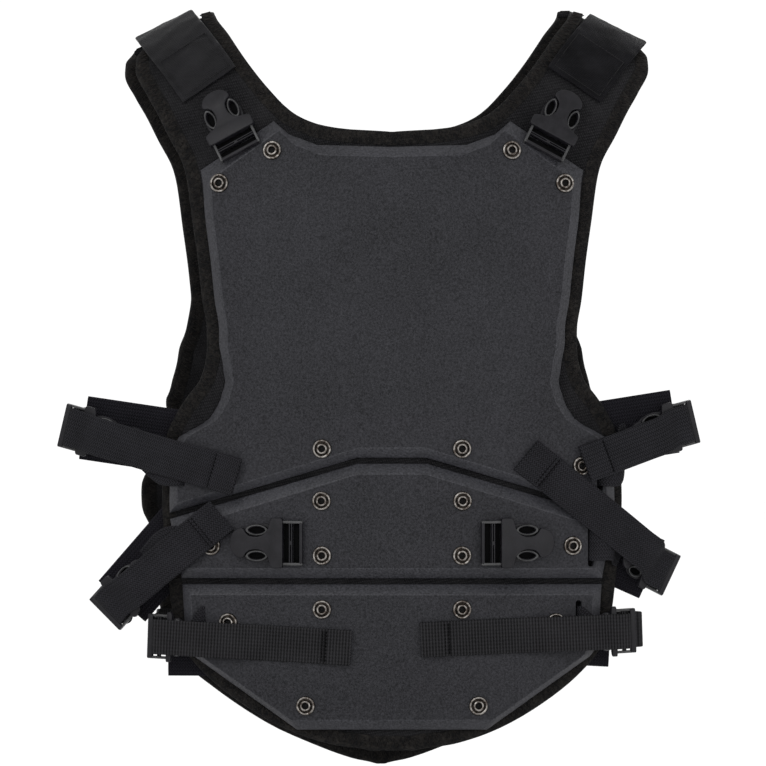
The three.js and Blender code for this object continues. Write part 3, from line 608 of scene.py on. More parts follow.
def edgeLine(side, kind):
    # stations along one edge of a panel: place on the form, way in from the edge, way out
    shift = backOnly(side, "backShift")
    levels = panelLevels(backOnly(side, "backDrop"))
    if kind == "outer":
        half = [(panelEdge(side, v), v) for v in levels]
        other = half
    else:
        half = [(0.0, -form["neckDrop"])] + [(neckAt(v), v) for v in levels if v > -form["neckDrop"]]
        other = half[1:]
    flat = [Vector((shift - x, v, 0)) for x, v in reversed(half)]
    flat += [Vector((shift + x, v, 0)) for x, v in other]
    marks = evenMarks(flat, [formPoint(side, p.x, p.y) for p in flat], panel["edgeStep"])
    stations = []
    for k, mark in enumerate(marks):
        before = marks[max(0, k - 1)]
        after = marks[min(len(marks) - 1, k + 1)]
        place = formPoint(side, mark.x, mark.y)
        heading = formPoint(side, after.x, after.y) - formPoint(side, before.x, before.y)
        normal = formNormal(side, mark.x, mark.y)
        inward = normal.cross(heading).normalized()
        aside = place.x - shift
        if kind == "neck":
            wrongWay = inward.dot(place - Vector((0, place.y, 200))) < 0
        elif abs(aside) > panel["hemHalf"]:
            wrongWay = inward.x * aside > 0
        else:
            wrongWay = inward.z < 0
        if wrongWay:
            inward.negate()
        stations.append((place, inward, normal))
    return stations


def makePanel(side, name):
    shift = backOnly(side, "backShift")
    levels = panelLevels(backOnly(side, "backDrop"))
    rows = len(levels) - 1
    bm = bmesh.new()
    for hand in (-1, 1):
        def place(s, t, hand=hand):
            v = levels[round(t * rows)]
            neck = neckAt(v)
            x = hand * (neck + (panelEdge(side, v) - neck) * s) + shift
            return onForm(side, x, v, form["thick"])
        gridPiece(bm, panel["columns"], rows, place)
    closeUp(bm, 0.01)
    if sum(face.normal.y for face in bm.faces) * side < 0:
        bmesh.ops.reverse_faces(bm, faces=bm.faces[:])
    area = sum(face.calc_area() for face in bm.faces) * 1e-6
    piece = finishPiece(bm, name + "_sheet", name, [neopreneKnit], merge=0)
    wall = piece.modifiers.new("thickness", "SOLIDIFY")
    wall.thickness = form["thick"] * 0.001
    wall.offset = -1


def overlockLine(stations, height):
    # a zigzag of thread along the rim
    run = sum((after[0] - before[0]).length for before, after in zip(stations, stations[1:]))
    count = round(run / panel["stitchStep"])
    line = []
    for k in range(count + 1):
        at = k / count * (len(stations) - 1)
        low = min(int(at), len(stations) - 2)
        base, inward, normal = (a.lerp(b, at - low) for a, b in zip(stations[low], stations[low + 1]))
        line.append(base + inward * panel["stitchIn"][k % 2] + normal * height)
    return line


def makeEdging(side, kind, name):
    stations = edgeLine(side, kind)
    band, lift, t = panel["edgeBand"], panel["edgeLift"], form["thick"]
    rings = [  # way in from the edge and height, from the outer face round the rim to the inner face
        (band, t + 0.05), (band - 0.6, t + lift), (band * 0.5, t + lift + 0.15), (1.4, t + lift),
        (0.1, t + 0.1),
        (-0.55, t * 0.75), (-0.6, t * 0.5), (-0.55, t * 0.25),
        (0.1, -0.1), (1.4, -lift), (band * 0.5, -lift), (band - 0.6, -lift), (band, -0.05),
    ]
    bm = bmesh.new()

    def place(s, v):
        base, inward, normal = stations[round(v * (len(stations) - 1))]
        inset, height = rings[round(s * (len(rings) - 1))]
        return base + inward * inset + normal * height

    gridPiece(bm, len(rings) - 1, len(stations) - 1, place)
    finishPiece(bm, name + "_edging", None, [edgingKnit], sharp=80)
    lines = [overlockLine(stations, height) for height in (t + lift + 0.35, -lift - 0.25)]
    threadPiece(name + "_overlock", lines, panel["threadRadius"], threadBrown)


for side, name in ((-1, "front_neoprene"), (1, "back_neoprene")):
    makePanel(side, name)
    makeEdging(side, "outer", name + "_outer")
    makeEdging(side, "neck", name + "_neck")
print("panels ready")

# Foam plates
cornerHalf = plateHalf(-plate["cornerDrop"])
waistPlate = form["waist"] - plate["waistBand"]
tipShare = plate["tipHalf"] / cornerHalf
flatShare = plate["chevronFlat"] / waistPlate
plateRims = [  # lift and inset of each ring, from the face over the bevel to the back
    (9.0, 8.3), (8.9, 7.7), (8.6, 7.1), (3.55, 0.62), (3.15, 0.2), (2.6, 0.0), (0.35, 0.0), (0.0, 0.3),
]


def chevronAt(u):
    return -(plate["chevronDrop"] + plate["chevronRise"] * max(0.0, u - flatShare) / (1 - flatShare))


def upperHead(u):
    drop, tip = plate["topDrop"], plate["tipDrop"]
    edge = [(0, drop), (0.39, drop - 1.5), (0.54, (drop + tip) / 2), (tipShare, tip)]
    edge.append((1, plate["cornerDrop"]))
    k = 0
    while k + 2 < len(edge) and edge[k + 1][0] < u:
        k += 1
    t = (u - edge[k][0]) / (edge[k + 1][0] - edge[k][0])
    return -(edge[k][1] + (edge[k + 1][1] - edge[k][1]) * t)


def lowerHalf(v):
    corner = plate["lowerCorner"]
    if v >= -corner:
        return plateHalf(v)
    t = (-v - corner) / (plate["lowerFoot"] - corner)
    half = plateHalf(-corner)
    return half + (plate["lowerFootHalf"] - half) * t


plates = {
    "upper": {
        "across": [0, flatShare, 0.39, 0.54, tipShare, 1], "rows": 54, "foot": chevronAt, "head": upperHead,
        "half": lambda v: plateHalf(min(v, -plate["cornerDrop"])),
    },
    "middle": {
        "across": [0, flatShare, 1], "rows": 18, "foot": lambda u: -plate["middleFoot"],
        "head": lambda u: chevronAt(u) - plate["gap"], "half": plateHalf,
    },
    "lower": {
        "across": [0, 1], "rows": 36, "foot": lambda u: -plate["lowerFoot"],
        "head": lambda u: -(plate["middleFoot"] + plate["gap"]), "half": lowerHalf,
    },
}
slots = {
    "upper": {"plate": "upper", "down": 0.605, "inset": 12.0},
    "middle": {"plate": "middle", "down": 0.71, "inset": 16.0},
    "lower": {"plate": "lower", "down": 0.8215, "inset": 17.5},
}


def slotPlace(slot):
    v = -slot["down"] * form["height"]
    return plates[slot["plate"]]["half"](v) - slot["inset"], v


def acrossShares(marks, step):
    # the marks and even steps between them, mirrored about the middle
    shares = [0.0]
    for low, high in zip(marks, marks[1:]):
        count = max(1, round((high - low) / step))
        shares += [low + (high - low) * k / count for k in range(1, count + 1)]
    return [-u for u in reversed(shares[1:])] + shares


def makePlate(side, key):
    settings = plates[key]
    shift = backOnly(side, "backShift")
    shares = acrossShares(settings["across"], plate["acrossStep"])
    columns = len(shares) - 1
    bm = bmesh.new()
    marks = [bm.verts.layers.float.new(word) for word in ("u", "t")]

    def spot(u, t, lift, inset):
        foot = settings["foot"](abs(u)) + inset
        head = settings["head"](abs(u)) - inset
        v = foot + (head - foot) * t
        return onForm(side, u * (settings["half"](v) - inset) + shift, v, plateLift + lift)

    def layer(lift, inset):
        made = bmesh.ops.create_grid(bm, x_segments=columns, y_segments=settings["rows"], size=0.5)["verts"]
        for v in made:
            u = shares[round((v.co.x + 0.5) * columns)]
            t = v.co.y + 0.5
            v[marks[0]], v[marks[1]] = u, t
            v.co = spot(u, t, lift, inset)

    layer(*plateRims[0])
    edges = [edge for edge in bm.edges if edge.is_boundary]
    for lift, inset in plateRims[1:]:
        made = bmesh.ops.extrude_edge_only(bm, edges=edges)["geom"]
        for item in made:
            if isinstance(item, bmesh.types.BMVert):
                item.co = spot(item[marks[0]], item[marks[1]], lift, inset)
            # the bevel faces take the bevel finish with its painted highlight
            if isinstance(item, bmesh.types.BMFace):
                item.material_index = 1
        edges = [item for item in made if isinstance(item, bmesh.types.BMEdge) and item.is_boundary]
    layer(*plateRims[-1])
    name = ("front_" if side < 0 else "back_") + key + "_plate"
    piece = finishPiece(bm, name + "_foam", name, [foamFace, foamBevelHighlight], sharp=50)
    if side < 0:
        cutSlots(piece, [slot for slot in slots.values() if slot["plate"] == key])


def cutSlots(piece, cuts):
    if not cuts:
        return
    bm = bmesh.new()
    for slot in cuts:
        x, v = slotPlace(slot)
        for hand in (-1, 1):
            made = bmesh.ops.create_cube(bm, size=1.0)["verts"]
            size = (plate["slotWidth"], plate["slotLength"], plate["slotDepth"])
            bmesh.ops.scale(bm, vec=size, verts=made)
            upright = [e for vert in made for e in vert.link_edges
                       if abs(e.verts[0].co.z - e.verts[1].co.z) > plate["slotDepth"] / 2]
            roundOff(bm, list(dict.fromkeys(upright)), plate["slotRound"], 4)
            placed = [vert for vert in bm.verts if not vert.tag]
            bmesh.ops.transform(bm, matrix=frameAt(-1, hand * x, v, plateLift), verts=placed)
            for vert in bm.verts:
                vert.tag = True
    bmesh.ops.recalc_face_normals(bm, faces=bm.faces[:])
    mesh = metreMesh(bm, "slot cutter")
    # the slot walls take the bevel finish with its painted highlight
    mesh.materials.append(foamBevelHighlight)
    cutter = addObject("slot cutter", mesh)
    cut = piece.modifiers.new("slots", "BOOLEAN")
    cut.operation = "DIFFERENCE"
    cut.object = cutter
    cut.solver = "EXACT"
    result = settledMesh(piece)
    piece.modifiers.clear()
    piece.data = result
    bpy.data.objects.remove(cutter)


for side in (-1, 1):
    for key in plates:
        makePlate(side, key)
print("plates ready")

# Press studs
stud = {"sides": 40, "hole": 2.2, "grooves": [(2.2, 2.75), (4.15, 5.45), (7.15, 8.0)], "profile": [
    (0.0, 0.5), (0.8, 0.45), (1.2, 0.2), (1.9, 0.1), (2.15, 0.3), (2.3, 1.6), (2.75, 2.35), (3.2, 2.6),
    (3.7, 2.5), (4.15, 2.0), (4.35, 1.1), (4.7, 0.55), (5.15, 0.55), (5.45, 1.1), (5.8, 1.5), (6.3, 1.68),
    (6.8, 1.55), (7.15, 1.2), (7.4, 0.6), (7.5, 0.1), (7.5, -0.28),
]}
studRows = [
    ("neck", 0.511, 0.166), ("shoulder", 0.736, 0.2065), ("chevron", 0.298, 0.577), ("flank", 0.809, 0.601),
    ("belly_high", 0.3, 0.65), ("belly_low", 0.298, 0.7265), ("belly_side", 0.77, 0.713),
    ("hem_high", 0.298, 0.802), ("hem_side", 0.698, 0.8205), ("hem_low", 0.368, 0.937),
]


def makeStud(name, matrix):
    bm = bmesh.new()
    verts = [bm.verts.new((r, 0, h)) for r, h in stud["profile"]]
    edges = [bm.edges.new(pair) for pair in zip(verts, verts[1:])]
    bmesh.ops.spin(bm, geom=verts + edges, cent=(0, 0, 0), axis=(0, 0, 1), angle=2 * math.pi,
                   steps=stud["sides"], use_merge=True)
    bmesh.ops.remove_doubles(bm, verts=bm.verts[:], dist=0.01)
    bmesh.ops.holes_fill(bm, edges=[e for e in bm.edges if e.is_boundary], sides=0)
    bmesh.ops.recalc_face_normals(bm, faces=bm.faces[:])
    for face in bm.faces:
        out = face.calc_center_median().xy.length
        # the centre pit takes the near-black finish: painted shade of the hole
        if out < stud["hole"]:
            face.material_index = 1
        elif any(low < out < high for low, high in stud["grooves"]):
            face.material_index = 2
    bmesh.ops.transform(bm, matrix=matrix, verts=bm.verts[:])
    materials = [nickelPlate, holeShade, nickelGroove]
    finishPiece(bm, name + "_stud", name, materials, sharp=60, merge=0)


for word, out, down in studRows:
    for hand, handWord in hands:
        matrix = frameAt(-1, *spotAt(hand, out, down), plateTop + form["clearance"])
        makeStud(f"snap_{word}_{handWord}", matrix)
print("studs ready")

# Side-release buckles. Lengths are shares of the part before the ladder, widths shares of the half width.
buckle = {
    "width": 35.0, "bar": 3.2, "gap": 4.6, "round": 0.8,
    "plate": [
        (0.0, 0.0), (0.012, 0.2), (0.045, 0.38), (0.10, 0.53), (0.17, 0.63), (0.245, 0.665), (0.275, 0.62),
        (0.315, 0.45), (0.37, 0.335), (0.45, 0.29), (0.55, 0.29), (0.63, 0.36), (0.69, 0.47), (0.735, 0.66),
        (0.765, 0.98), (0.79, 1.09), (0.82, 1.12), (0.965, 1.12), (0.99, 1.08), (1.0, 1.0),
    ],
    "base": [
        (0.02, 0.0), (0.06, 0.36), (0.14, 0.55), (0.25, 0.64), (0.36, 0.78), (0.5, 0.86), (0.64, 0.86),
        (0.76, 0.8), (1.0, 0.84),
    ],
    "eye": {"middle": 0.515, "half": 0.215, "across": 0.575, "reach": 0.25, "hole": 0.76, "sides": 28},
}


def outlineSolid(bm, points, low, high, rounding):
    # a flat outline, mirrored about y = 0, pulled up and rounded at its top
    ring = [(x, y) for x, y in points] + [(x, -y) for x, y in reversed(points) if y > 0]
    verts = [bm.verts.new((x, y, low)) for x, y in ring]
    base = bm.faces.new(verts)
    top = bmesh.ops.extrude_face_region(bm, geom=[base])["geom"]
    lifted = [item for item in top if isinstance(item, bmesh.types.BMVert)]
    bmesh.ops.translate(bm, vec=(0, 0, high - low), verts=lifted)
    rim = [item for item in top if isinstance(item, bmesh.types.BMEdge)]
    roundOff(bm, rim, rounding, 3, clamp=True)


def boxSolid(bm, low, high, rounding, material=0):
    known = set(bm.faces)
    made = bmesh.ops.create_cube(bm, size=1.0)["verts"]
    size = Vector(high) - Vector(low)
    bmesh.ops.scale(bm, vec=size, verts=made)
    bmesh.ops.translate(bm, vec=(Vector(low) + Vector(high)) / 2, verts=made)
    roundOff(bm, list(dict.fromkeys(e for vert in made for e in vert.link_edges)), rounding, 2)
    for face in bm.faces:
        if face not in known:
            face.material_index = material


def eyeRing(bm, middle, half, reach, low, high):
    # the prong's loop: an eye shape with an open middle over a near-black floor of painted shade
    count = buckle["eye"]["sides"]
    hole = buckle["eye"]["hole"] * 0.75

    def rim(scale, angle):
        c, s = math.cos(angle), math.sin(angle)
        pinch = math.copysign(abs(s) ** 1.25, s)
        return Vector((half * scale[0] * c, reach * scale[1] * pinch, 0))

    sections = [  # share of the two half widths, then the height, once round
        ((1.0, 1.0), low), ((1.0, 1.0), high - 0.8), ((0.95, 0.93), high - 0.15), ((0.86, 0.84), high),
        ((0.78, 0.72), high - 0.3), ((0.74, hole), high - 1.2), ((0.74, hole), low),
    ]

    def place(s, t):
        scale, z = sections[round(s * len(sections)) % len(sections)]
        point = middle + rim(scale, 2 * math.pi * t)
        return Vector((point.x, point.y, z))

    made = gridPiece(bm, len(sections), count, place)
    # the top of the ring takes the rim finish: a painted highlight
    for face in {face for vert in made for face in vert.link_faces}:
        if face.calc_center_median().z > high - 0.75:
            face.material_index = 1
    # a near-black disc under the eye: painted shade
    disc = bmesh.ops.create_cone(bm, cap_ends=True, segments=count, radius1=1.0, radius2=1.0, depth=0.3)
    floor = disc["verts"]
    bmesh.ops.scale(bm, vec=(half * 0.77, reach * 0.62, 1.0), verts=floor)
    bmesh.ops.translate(bm, vec=middle + Vector((0, 0, low + 0.85)), verts=floor)
    for face in {face for vert in floor for face in vert.link_faces}:
        face.material_index = 2


def makeBuckle(name, length, thick, matrix, barWide=0.0):
    # a side buckle has a wide outer bar with the strap over it, a front one has open windows over thin
    # near-black floors of painted shade
    half = buckle["width"] / 2
    bar, gap, eye = buckle["bar"], buckle["gap"], buckle["eye"]
    neck = length - 2 * bar - 2 * gap
    bm = bmesh.new()
    outlineSolid(bm, [(x * neck, y * half) for x, y in buckle["plate"]], 0.9, thick, buckle["round"])
    for vert in bm.verts:
        share = min(1.0, max(0.0, vert.co.x / (0.3 * neck)))
        droop = 1 - (1 - share) ** 2
        if vert.co.z > 2:
            vert.co.z = 1.6 + (vert.co.z - 1.6) * (0.5 + 0.5 * droop)
        crown = min(1.0, abs(vert.co.y) / half)
        if vert.co.z > 2 and vert.co.x > 0.7 * neck:
            vert.co.z -= 1.3 * crown**3
    outlineSolid(bm, [(x * neck, y * half) for x, y in buckle["base"]], 0.0, 1.5, 0.3)
    for hand in (-1, 1):
        middle = Vector((eye["middle"] * neck, hand * eye["across"] * half, 0))
        eyeRing(bm, middle, eye["half"] * neck, eye["reach"] * half, 0.8, thick * 0.8)
    high = 0.62 * thick
    middleBar = neck + gap
    # the two side rails take the rim finish: a painted highlight
    for hand in (-1, 1):
        ys = sorted((hand * (half - 0.1), hand * (half - 2.1)))
        boxSolid(bm, (neck - 1.2, ys[0], 0.0), (length, ys[1], high), 0.5, 1)
    # the front buckle's ladder windows get thin near-black floors: painted shade
    if not barWide:
        for start in (neck + 0.3, middleBar + bar + 0.3):
            boxSolid(bm, (start, -half + 2.4, 0.02), (start + gap - 0.6, half - 2.4, 0.4), 0.1, 2)
    for start, end in ((0.25, 1.2), (2.0, bar - 0.25)):
        boxSolid(bm, (middleBar + start, -half + 1.4, 0.3), (middleBar + end, half - 1.4, high - 0.2), 0.35)
    boxSolid(bm, (middleBar + 0.5, -1.6, 0.3), (middleBar + bar - 0.5, 1.6, high - 0.25), 0.35)
    barLow = length - bar + 0.6 - barWide
    boxSolid(bm, (barLow, -half + 0.4, 0.0), (length, half - 0.4, high + barWide * 0.6), 0.9)
    closeUp(bm, 0.005)
    bmesh.ops.transform(bm, matrix=matrix, verts=bm.verts[:])
    materials = [plasticSatin, plasticRimHighlight, shadeAndStitchBlack]
    finishPiece(bm, name + "_moulding", name, materials, sharp=38, merge=0)


frontBuckle = {"length": 58.0, "thick": 7.5}
frontBuckles = [
    {"name": "shoulder_buckle", "out": 0.71, "down": 0.1313, "turn": -116, "lift": 9.8, "pitch": 7},
    {"name": "belly_buckle", "out": 0.532, "down": 0.7085, "turn": 180, "lift": plateTop + 0.3, "pitch": 0},
]
for row in frontBuckles:
    for hand, handWord in hands:
        turn = turned(row["turn"], hand)
        matrix = frameAt(-1, *spotAt(hand, row["out"], row["down"]), row["lift"], turn, row["pitch"])
        matrix = matrix @ Matrix.Translation((-frontBuckle["length"] / 2, 0, 0))
        makeBuckle(f"{row['name']}_{handWord}", frontBuckle["length"], frontBuckle["thick"], matrix)
print("front buckles ready")

# Webbing
web = {
    "width": 30.0, "lowerWidth": 27.5, "thick": 1.6, "seat": 1.5, "sag": 0.3, "step": 3.0,
    "seamBacks": (0.3, 2.6), "seamPitch": 2.6, "seamThread": 0.4,
    "flapWidth": 50.0, "flapThick": 2.0, "flapLap": 24.0, "flapSteps": 12,
}
studHeight = 2.6


def smoothLine(stations, step):
    # an even, smooth line through stations of (place, width way)
    points = [station[0] for station in stations]
    count = len(points)
    runs = [max((b - a).length, 1e-6) for a, b in zip(points, points[1:])]
    tangents = []
    for i in range(count):
        if i == 0:
            tangents.append((points[1] - points[0]) / runs[0])
        elif i == count - 1:
            tangents.append((points[-1] - points[-2]) / runs[-1])
        else:
            before = (points[i] - points[i - 1]) / runs[i - 1]
            after = (points[i + 1] - points[i]) / runs[i]
            tangents.append((before * runs[i] + after * runs[i - 1]) / (runs[i] + runs[i - 1]))
    result = []
    gone = 0.0
    for i, run in enumerate(runs):
        pieces = max(1, round(run / step))
        for k in range(pieces + (1 if i == len(runs) - 1 else 0)):
            t = k / pieces
            place = points[i] * (2 * t**3 - 3 * t**2 + 1) + tangents[i] * run * (t**3 - 2 * t**2 + t)
            place += points[i + 1] * (3 * t**2 - 2 * t**3) + tangents[i + 1] * run * (t**3 - t**2)
            wide = stations[i][1].lerp(stations[i + 1][1], t).normalized()
            result.append((place, wide, gone + run * t))
        gone += run
    return result


def smoothStep(x, low, high):
    t = min(1.0, max(0.0, (x - low) / (high - low)))
    return t * t * (3 - 2 * t)


def webSection(width, thick):
    # half-round edges and a flat middle, once round
    top = [(-0.5, 0.0), (-0.493, 0.3), (-0.475, 0.46), (-0.44, 0.5), (-0.22, 0.5), (0.0, 0.5), (0.22, 0.5),
           (0.44, 0.5), (0.475, 0.46), (0.493, 0.3)]
    ring = top + [(-w, -h) for w, h in top]
    return [(w * width, h * thick) for w, h in ring]


def sweepWeb(bm, line, width, thick, lift=0.0, wrinkle=None):
    section = webSection(width, thick)
    places = []
    for k, (place, wide, run) in enumerate(line):
        before = line[max(0, k - 1)][0]
        after = line[min(len(line) - 1, k + 1)][0]
        normal = (after - before).normalized().cross(wide).normalized()
        places.append((place + normal * lift, wide, normal, run))
    around = len(section)

    def place(s, t):
        centre, wide, normal, run = places[round(t * (len(places) - 1))]
        w, h = section[round(s * around) % around]
        more = wrinkle(run, w) if wrinkle else 0.0
        return centre + wide * w + normal * (h + more)

    def uvPlace(s, t):
        w, h = section[round(s * around) % around]
        return (places[round(t * (len(places) - 1))][3], w + width / 2)

    made = gridPiece(bm, around, len(places) - 1, place, uvPlace)
    bmesh.ops.remove_doubles(bm, verts=made, dist=0.005)
    ends = [e for e in bm.edges if e.is_boundary]
    bmesh.ops.holes_fill(bm, edges=ends, sides=0)
    return places


def wideOnForm(side, x, v, headX, headV, width):
    size = math.hypot(headX, headV)
    stepX = -headV / size * width / 2
    stepV = headX / size * width / 2
    return (onForm(side, x + stepX, v + stepV, 0) - onForm(side, x - stepX, v - stepV, 0)).normalized()


def stitches(count, at, sink):
    # low arches of thread; at(share) gives a place on the seam and the way out of the cloth
    lines = []
    for k in range(count):
        line = []
        for share, lift in ((0.08, -sink), (0.5, 0.12), (0.92, -sink)):
            point, outward = at((k + share) / count)
            line.append(point + outward * lift)
        lines.append(line)
    return lines


# Shoulder straps
shoulder = {
    "width": 50.0, "thick": 1.8, "reach": 46.0, "outLow": 0.79, "outHigh": 0.972, "steps": 9, "crest": 1.48,
    "roll": 6.0, "rollRight": 0.4, "step": 2.0, "wrinkle": 0.55, "crease": 0.16,
    "patch": (4.0, 44.0), "patchHalf": 21.0, "pitch": 3.0, "thread": 0.42,
}


def shoulderStations(hand):
    lift = form["thick"] + web["seat"] + shoulder["thick"] / 2
    low = math.asin(1 - shoulder["reach"] / form["arch"])
    steps = shoulder["steps"]
    spots = []
    for side in (-1, 1):
        for k in range(steps + 1):
            share = k / steps if side < 0 else 1 - k / steps
            v = -form["arch"] * (1 - math.sin(low + (shoulder["crest"] - low) * share))
            top = (1 + v / shoulder["reach"]) if v > -shoulder["reach"] else 0.0
            out = shoulder["outLow"] + (shoulder["outHigh"] - shoulder["outLow"]) * top
            x = hand * form["waist"] * out
            spots.append((onForm(side, x, v, lift), formNormal(side, x, v)))
    roll = shoulder["roll"] if hand < 0 else shoulder["roll"] * shoulder["rollRight"]
    stations = []
    for k, (place, normal) in enumerate(spots):
        heading = spots[min(len(spots) - 1, k + 1)][0] - spots[max(0, k - 1)][0]
        high = max(0.0, 1 - abs(k - len(spots) / 2 + 0.5) / 7.5)
        rise = roll * smoothStep(high, 0.0, 1.0)
        stations.append((place + normal * rise, heading.cross(normal).normalized()))
    return stations


def makeShoulderStrap(hand, name):
    bm = bmesh.new()

    def wrinkle(run, w):
        swell = math.sin(run * 0.31 + w * 0.13) * math.sin(w * 0.19 + run * 0.11 * hand)
        return shoulder["wrinkle"] * swell + shoulder["crease"] * math.sin(run * 0.62 - w * 0.26)

    line = smoothLine(shoulderStations(hand), shoulder["step"])
    places = sweepWeb(bm, line, shoulder["width"], shoulder["thick"], wrinkle=wrinkle)
    weave = shoulderSheen if hand < 0 else shoulderNylon
    finishPiece(bm, name + "_webbing", name, [weave], sharp=60, merge=0)
    near, far = shoulder["patch"]
    half = shoulder["patchHalf"]
    corners = [(near, -half), (near, half), (far, half), (far, -half)]
    lines = []
    for begin, direction in ((0.0, 1), (places[-1][3], -1)):
        for (r0, w0), (r1, w1) in zip(corners, corners[1:] + corners[:1]):
            def at(t, r0=r0, w0=w0, r1=r1, w1=w1, begin=begin, direction=direction):
                want = begin + direction * (r0 + (r1 - r0) * t)
                k = min(range(len(places)), key=lambda i: abs(places[i][3] - want))
                centre, wide, normal, _ = places[k]
                outward = normal if normal.dot(centre - Vector((centre.x, 0, -60))) > 0 else -normal
                point = centre + wide * (w0 + (w1 - w0) * t) + outward * (shoulder["thick"] / 2 + 0.25)
                return point, outward
            count = round(math.hypot(r1 - r0, w1 - w0) / shoulder["pitch"])
            lines += stitches(count, at, 0.4)
    threadPiece(name + "_box_stitch", lines, shoulder["thread"], threadBlack)


for hand, handWord in hands:
    makeShoulderStrap(hand, "shoulder_strap_" + handWord)
print("shoulder straps ready")

# Side straps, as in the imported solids
strapColumns = (
    "name", "hand", "slot", "rest", "bulge", "length", "rear", "bar", "turn", "tail", "flap", "fold",
)
strapRows = [
    ("upper_left", -1, "upper", -0.1, 0, 1, 0.56,
     (1.433, 0.544), 14, (0.655, 0.617), (1.358, 0.5485, 8.4), 22.0),
    ("middle_left", -1, "middle", 0.02, 0, 1, 0.72,
     (1.247, 0.811), -47, (0.722, 0.6705), (1.19, 0.7926, -49), 23.0),
    ("lower_left", -1, "lower", 0.45, 3, 0.6, 0.83,
     (1.0365, 0.839), 2, (0.174, 0.8557), (0.985, 0.8525, 0), 22.0),
    ("upper_right", 1, "upper", -0.1, 0, 1, 0.56,
     (1.317, 0.5387), 14, (0.816, 0.5985), (1.245, 0.5396, 9), 21.0),
    ("middle_right", 1, "middle", 0.12, 0, 0.78, 0.71,
     (1.212, 0.756), -26.6, (0.568, 0.5855), (1.145, 0.7477, -24), 24.0),
    ("lower_right", 1, "lower", 0.45, 12, 0.6, 0.83,
     (1.034, 0.8312), 2, (0.1225, 0.8442), (0.96, 0.84, -3), 22.0),
]
sideStraps = [dict(zip(strapColumns, row)) for row in strapRows]
sideBuckle = {
    "barWide": 1.75, "thick": 6.0, "length": 56.0, "tailStep": 14.0, "rearLap": 26.0, "rearWidth": 12.0,
}
tailLift = plateTop + form["clearance"] + web["sag"] + web["thick"] / 2
crossLift = tailLift + studHeight + form["clearance"]


def sideFrame(row):
    # where the outer bar of a side buckle sits, and its axes
    over = row["slot"] == "lower"
    x, v = spotAt(row["hand"], *row["bar"])
    lift = (plateTop if over else form["thick"]) + form["facetGap"]
    matrix = frameAt(-1, x, v, lift, turned(row["turn"], row["hand"]))
    axes = matrix.to_3x3()
    return {
        "over": over, "bar": (x, v), "lift": lift, "matrix": matrix, "wide": axes.col[1].copy(),
        "outward": axes.col[0].copy(), "length": row["length"] * sideBuckle["length"],
        "width": web["lowerWidth"] if over else web["width"],
    }


def local(placed, along, up):
    return placed["matrix"] @ Vector((along, 0, up))


def strapStations(row, placed):
    length, wide = placed["length"], placed["wide"]
    barX, barV = placed["bar"]
    tailX, tailV = spotAt(row["hand"], *row["tail"])
    runX, runV = barX - tailX, barV - tailV
    reach = math.hypot(runX, runV)
    top = sideBuckle["thick"] + 2 * form["clearance"] + web["thick"] / 2
    ladder = 2 * buckle["bar"] + 2 * buckle["gap"]
    slotMid = -buckle["bar"] - buckle["gap"] / 2
    overLift = max(crossLift, placed["lift"] + top)
    lastShare = 1 - 0.55 * length / reach
    climbShare = min(lastShare, 1 - (length + sideBuckle["tailStep"]) / reach)
    steps = math.ceil(reach * lastShare / sideBuckle["tailStep"])
    stations = []
    for k in range(steps + 1):
        share = lastShare * k / steps
        x, v = tailX + runX * share, tailV + runV * share
        rise = smoothStep(share, row["rest"], row["rest"] + 0.1)
        climb = smoothStep(share, row["rest"] + 0.1, climbShare)
        lift = tailLift + (crossLift - tailLift) * rise + (overLift - crossLift) * climb
        stations.append([onForm(-1, x, v, lift), wideOnForm(-1, x, v, runX, runV, placed["width"])])
    if stations[-1][1].dot(wide) < 0:
        for station in stations:
            station[1] = -station[1]
    tailWide = stations[-1][1]
    stations.append([local(placed, -ladder - 1, top + 0.4), tailWide.lerp(wide, 0.6)])
    windowPath = [(-3.4, top + 0.2), (-1, top - 0.3), (0, top - 1.6), (0, -1), (1.4 + row["bulge"], -5)]
    for along, up in windowPath:
        stations.append([local(placed, slotMid + along, up), wide])
    rearV = -row["rear"] * form["height"]
    rearEdge = row["hand"] * (sideAt(rearV) - 4) + form["backShift"]
    rearWide = Vector((0, 0, math.copysign(1, wide.z)))
    rearLift = -form["facetGap"] - form["clearance"] - web["thick"] / 2
    bend = local(placed, slotMid + row["bulge"] * 0.9, -16)
    rearOut = onForm(1, rearEdge + row["hand"] * sideBuckle["rearWidth"], rearV, rearLift - 7)
    stations.append([bend, wide.lerp(rearWide, 0.1)])
    for share in (0.33, 0.66):
        point = bend.lerp(rearOut, share) + placed["outward"] * (6 * (1 - share))
        stations.append([point, wide.lerp(rearWide, 0.1 + 0.8 * share)])
    stations.append([rearOut, rearWide])
    stations.append([onForm(1, rearEdge, rearV, rearLift - 0.6), rearWide])
    stations.append([onForm(1, rearEdge - row["hand"] * sideBuckle["rearLap"], rearV, rearLift), rearWide])
    return stations


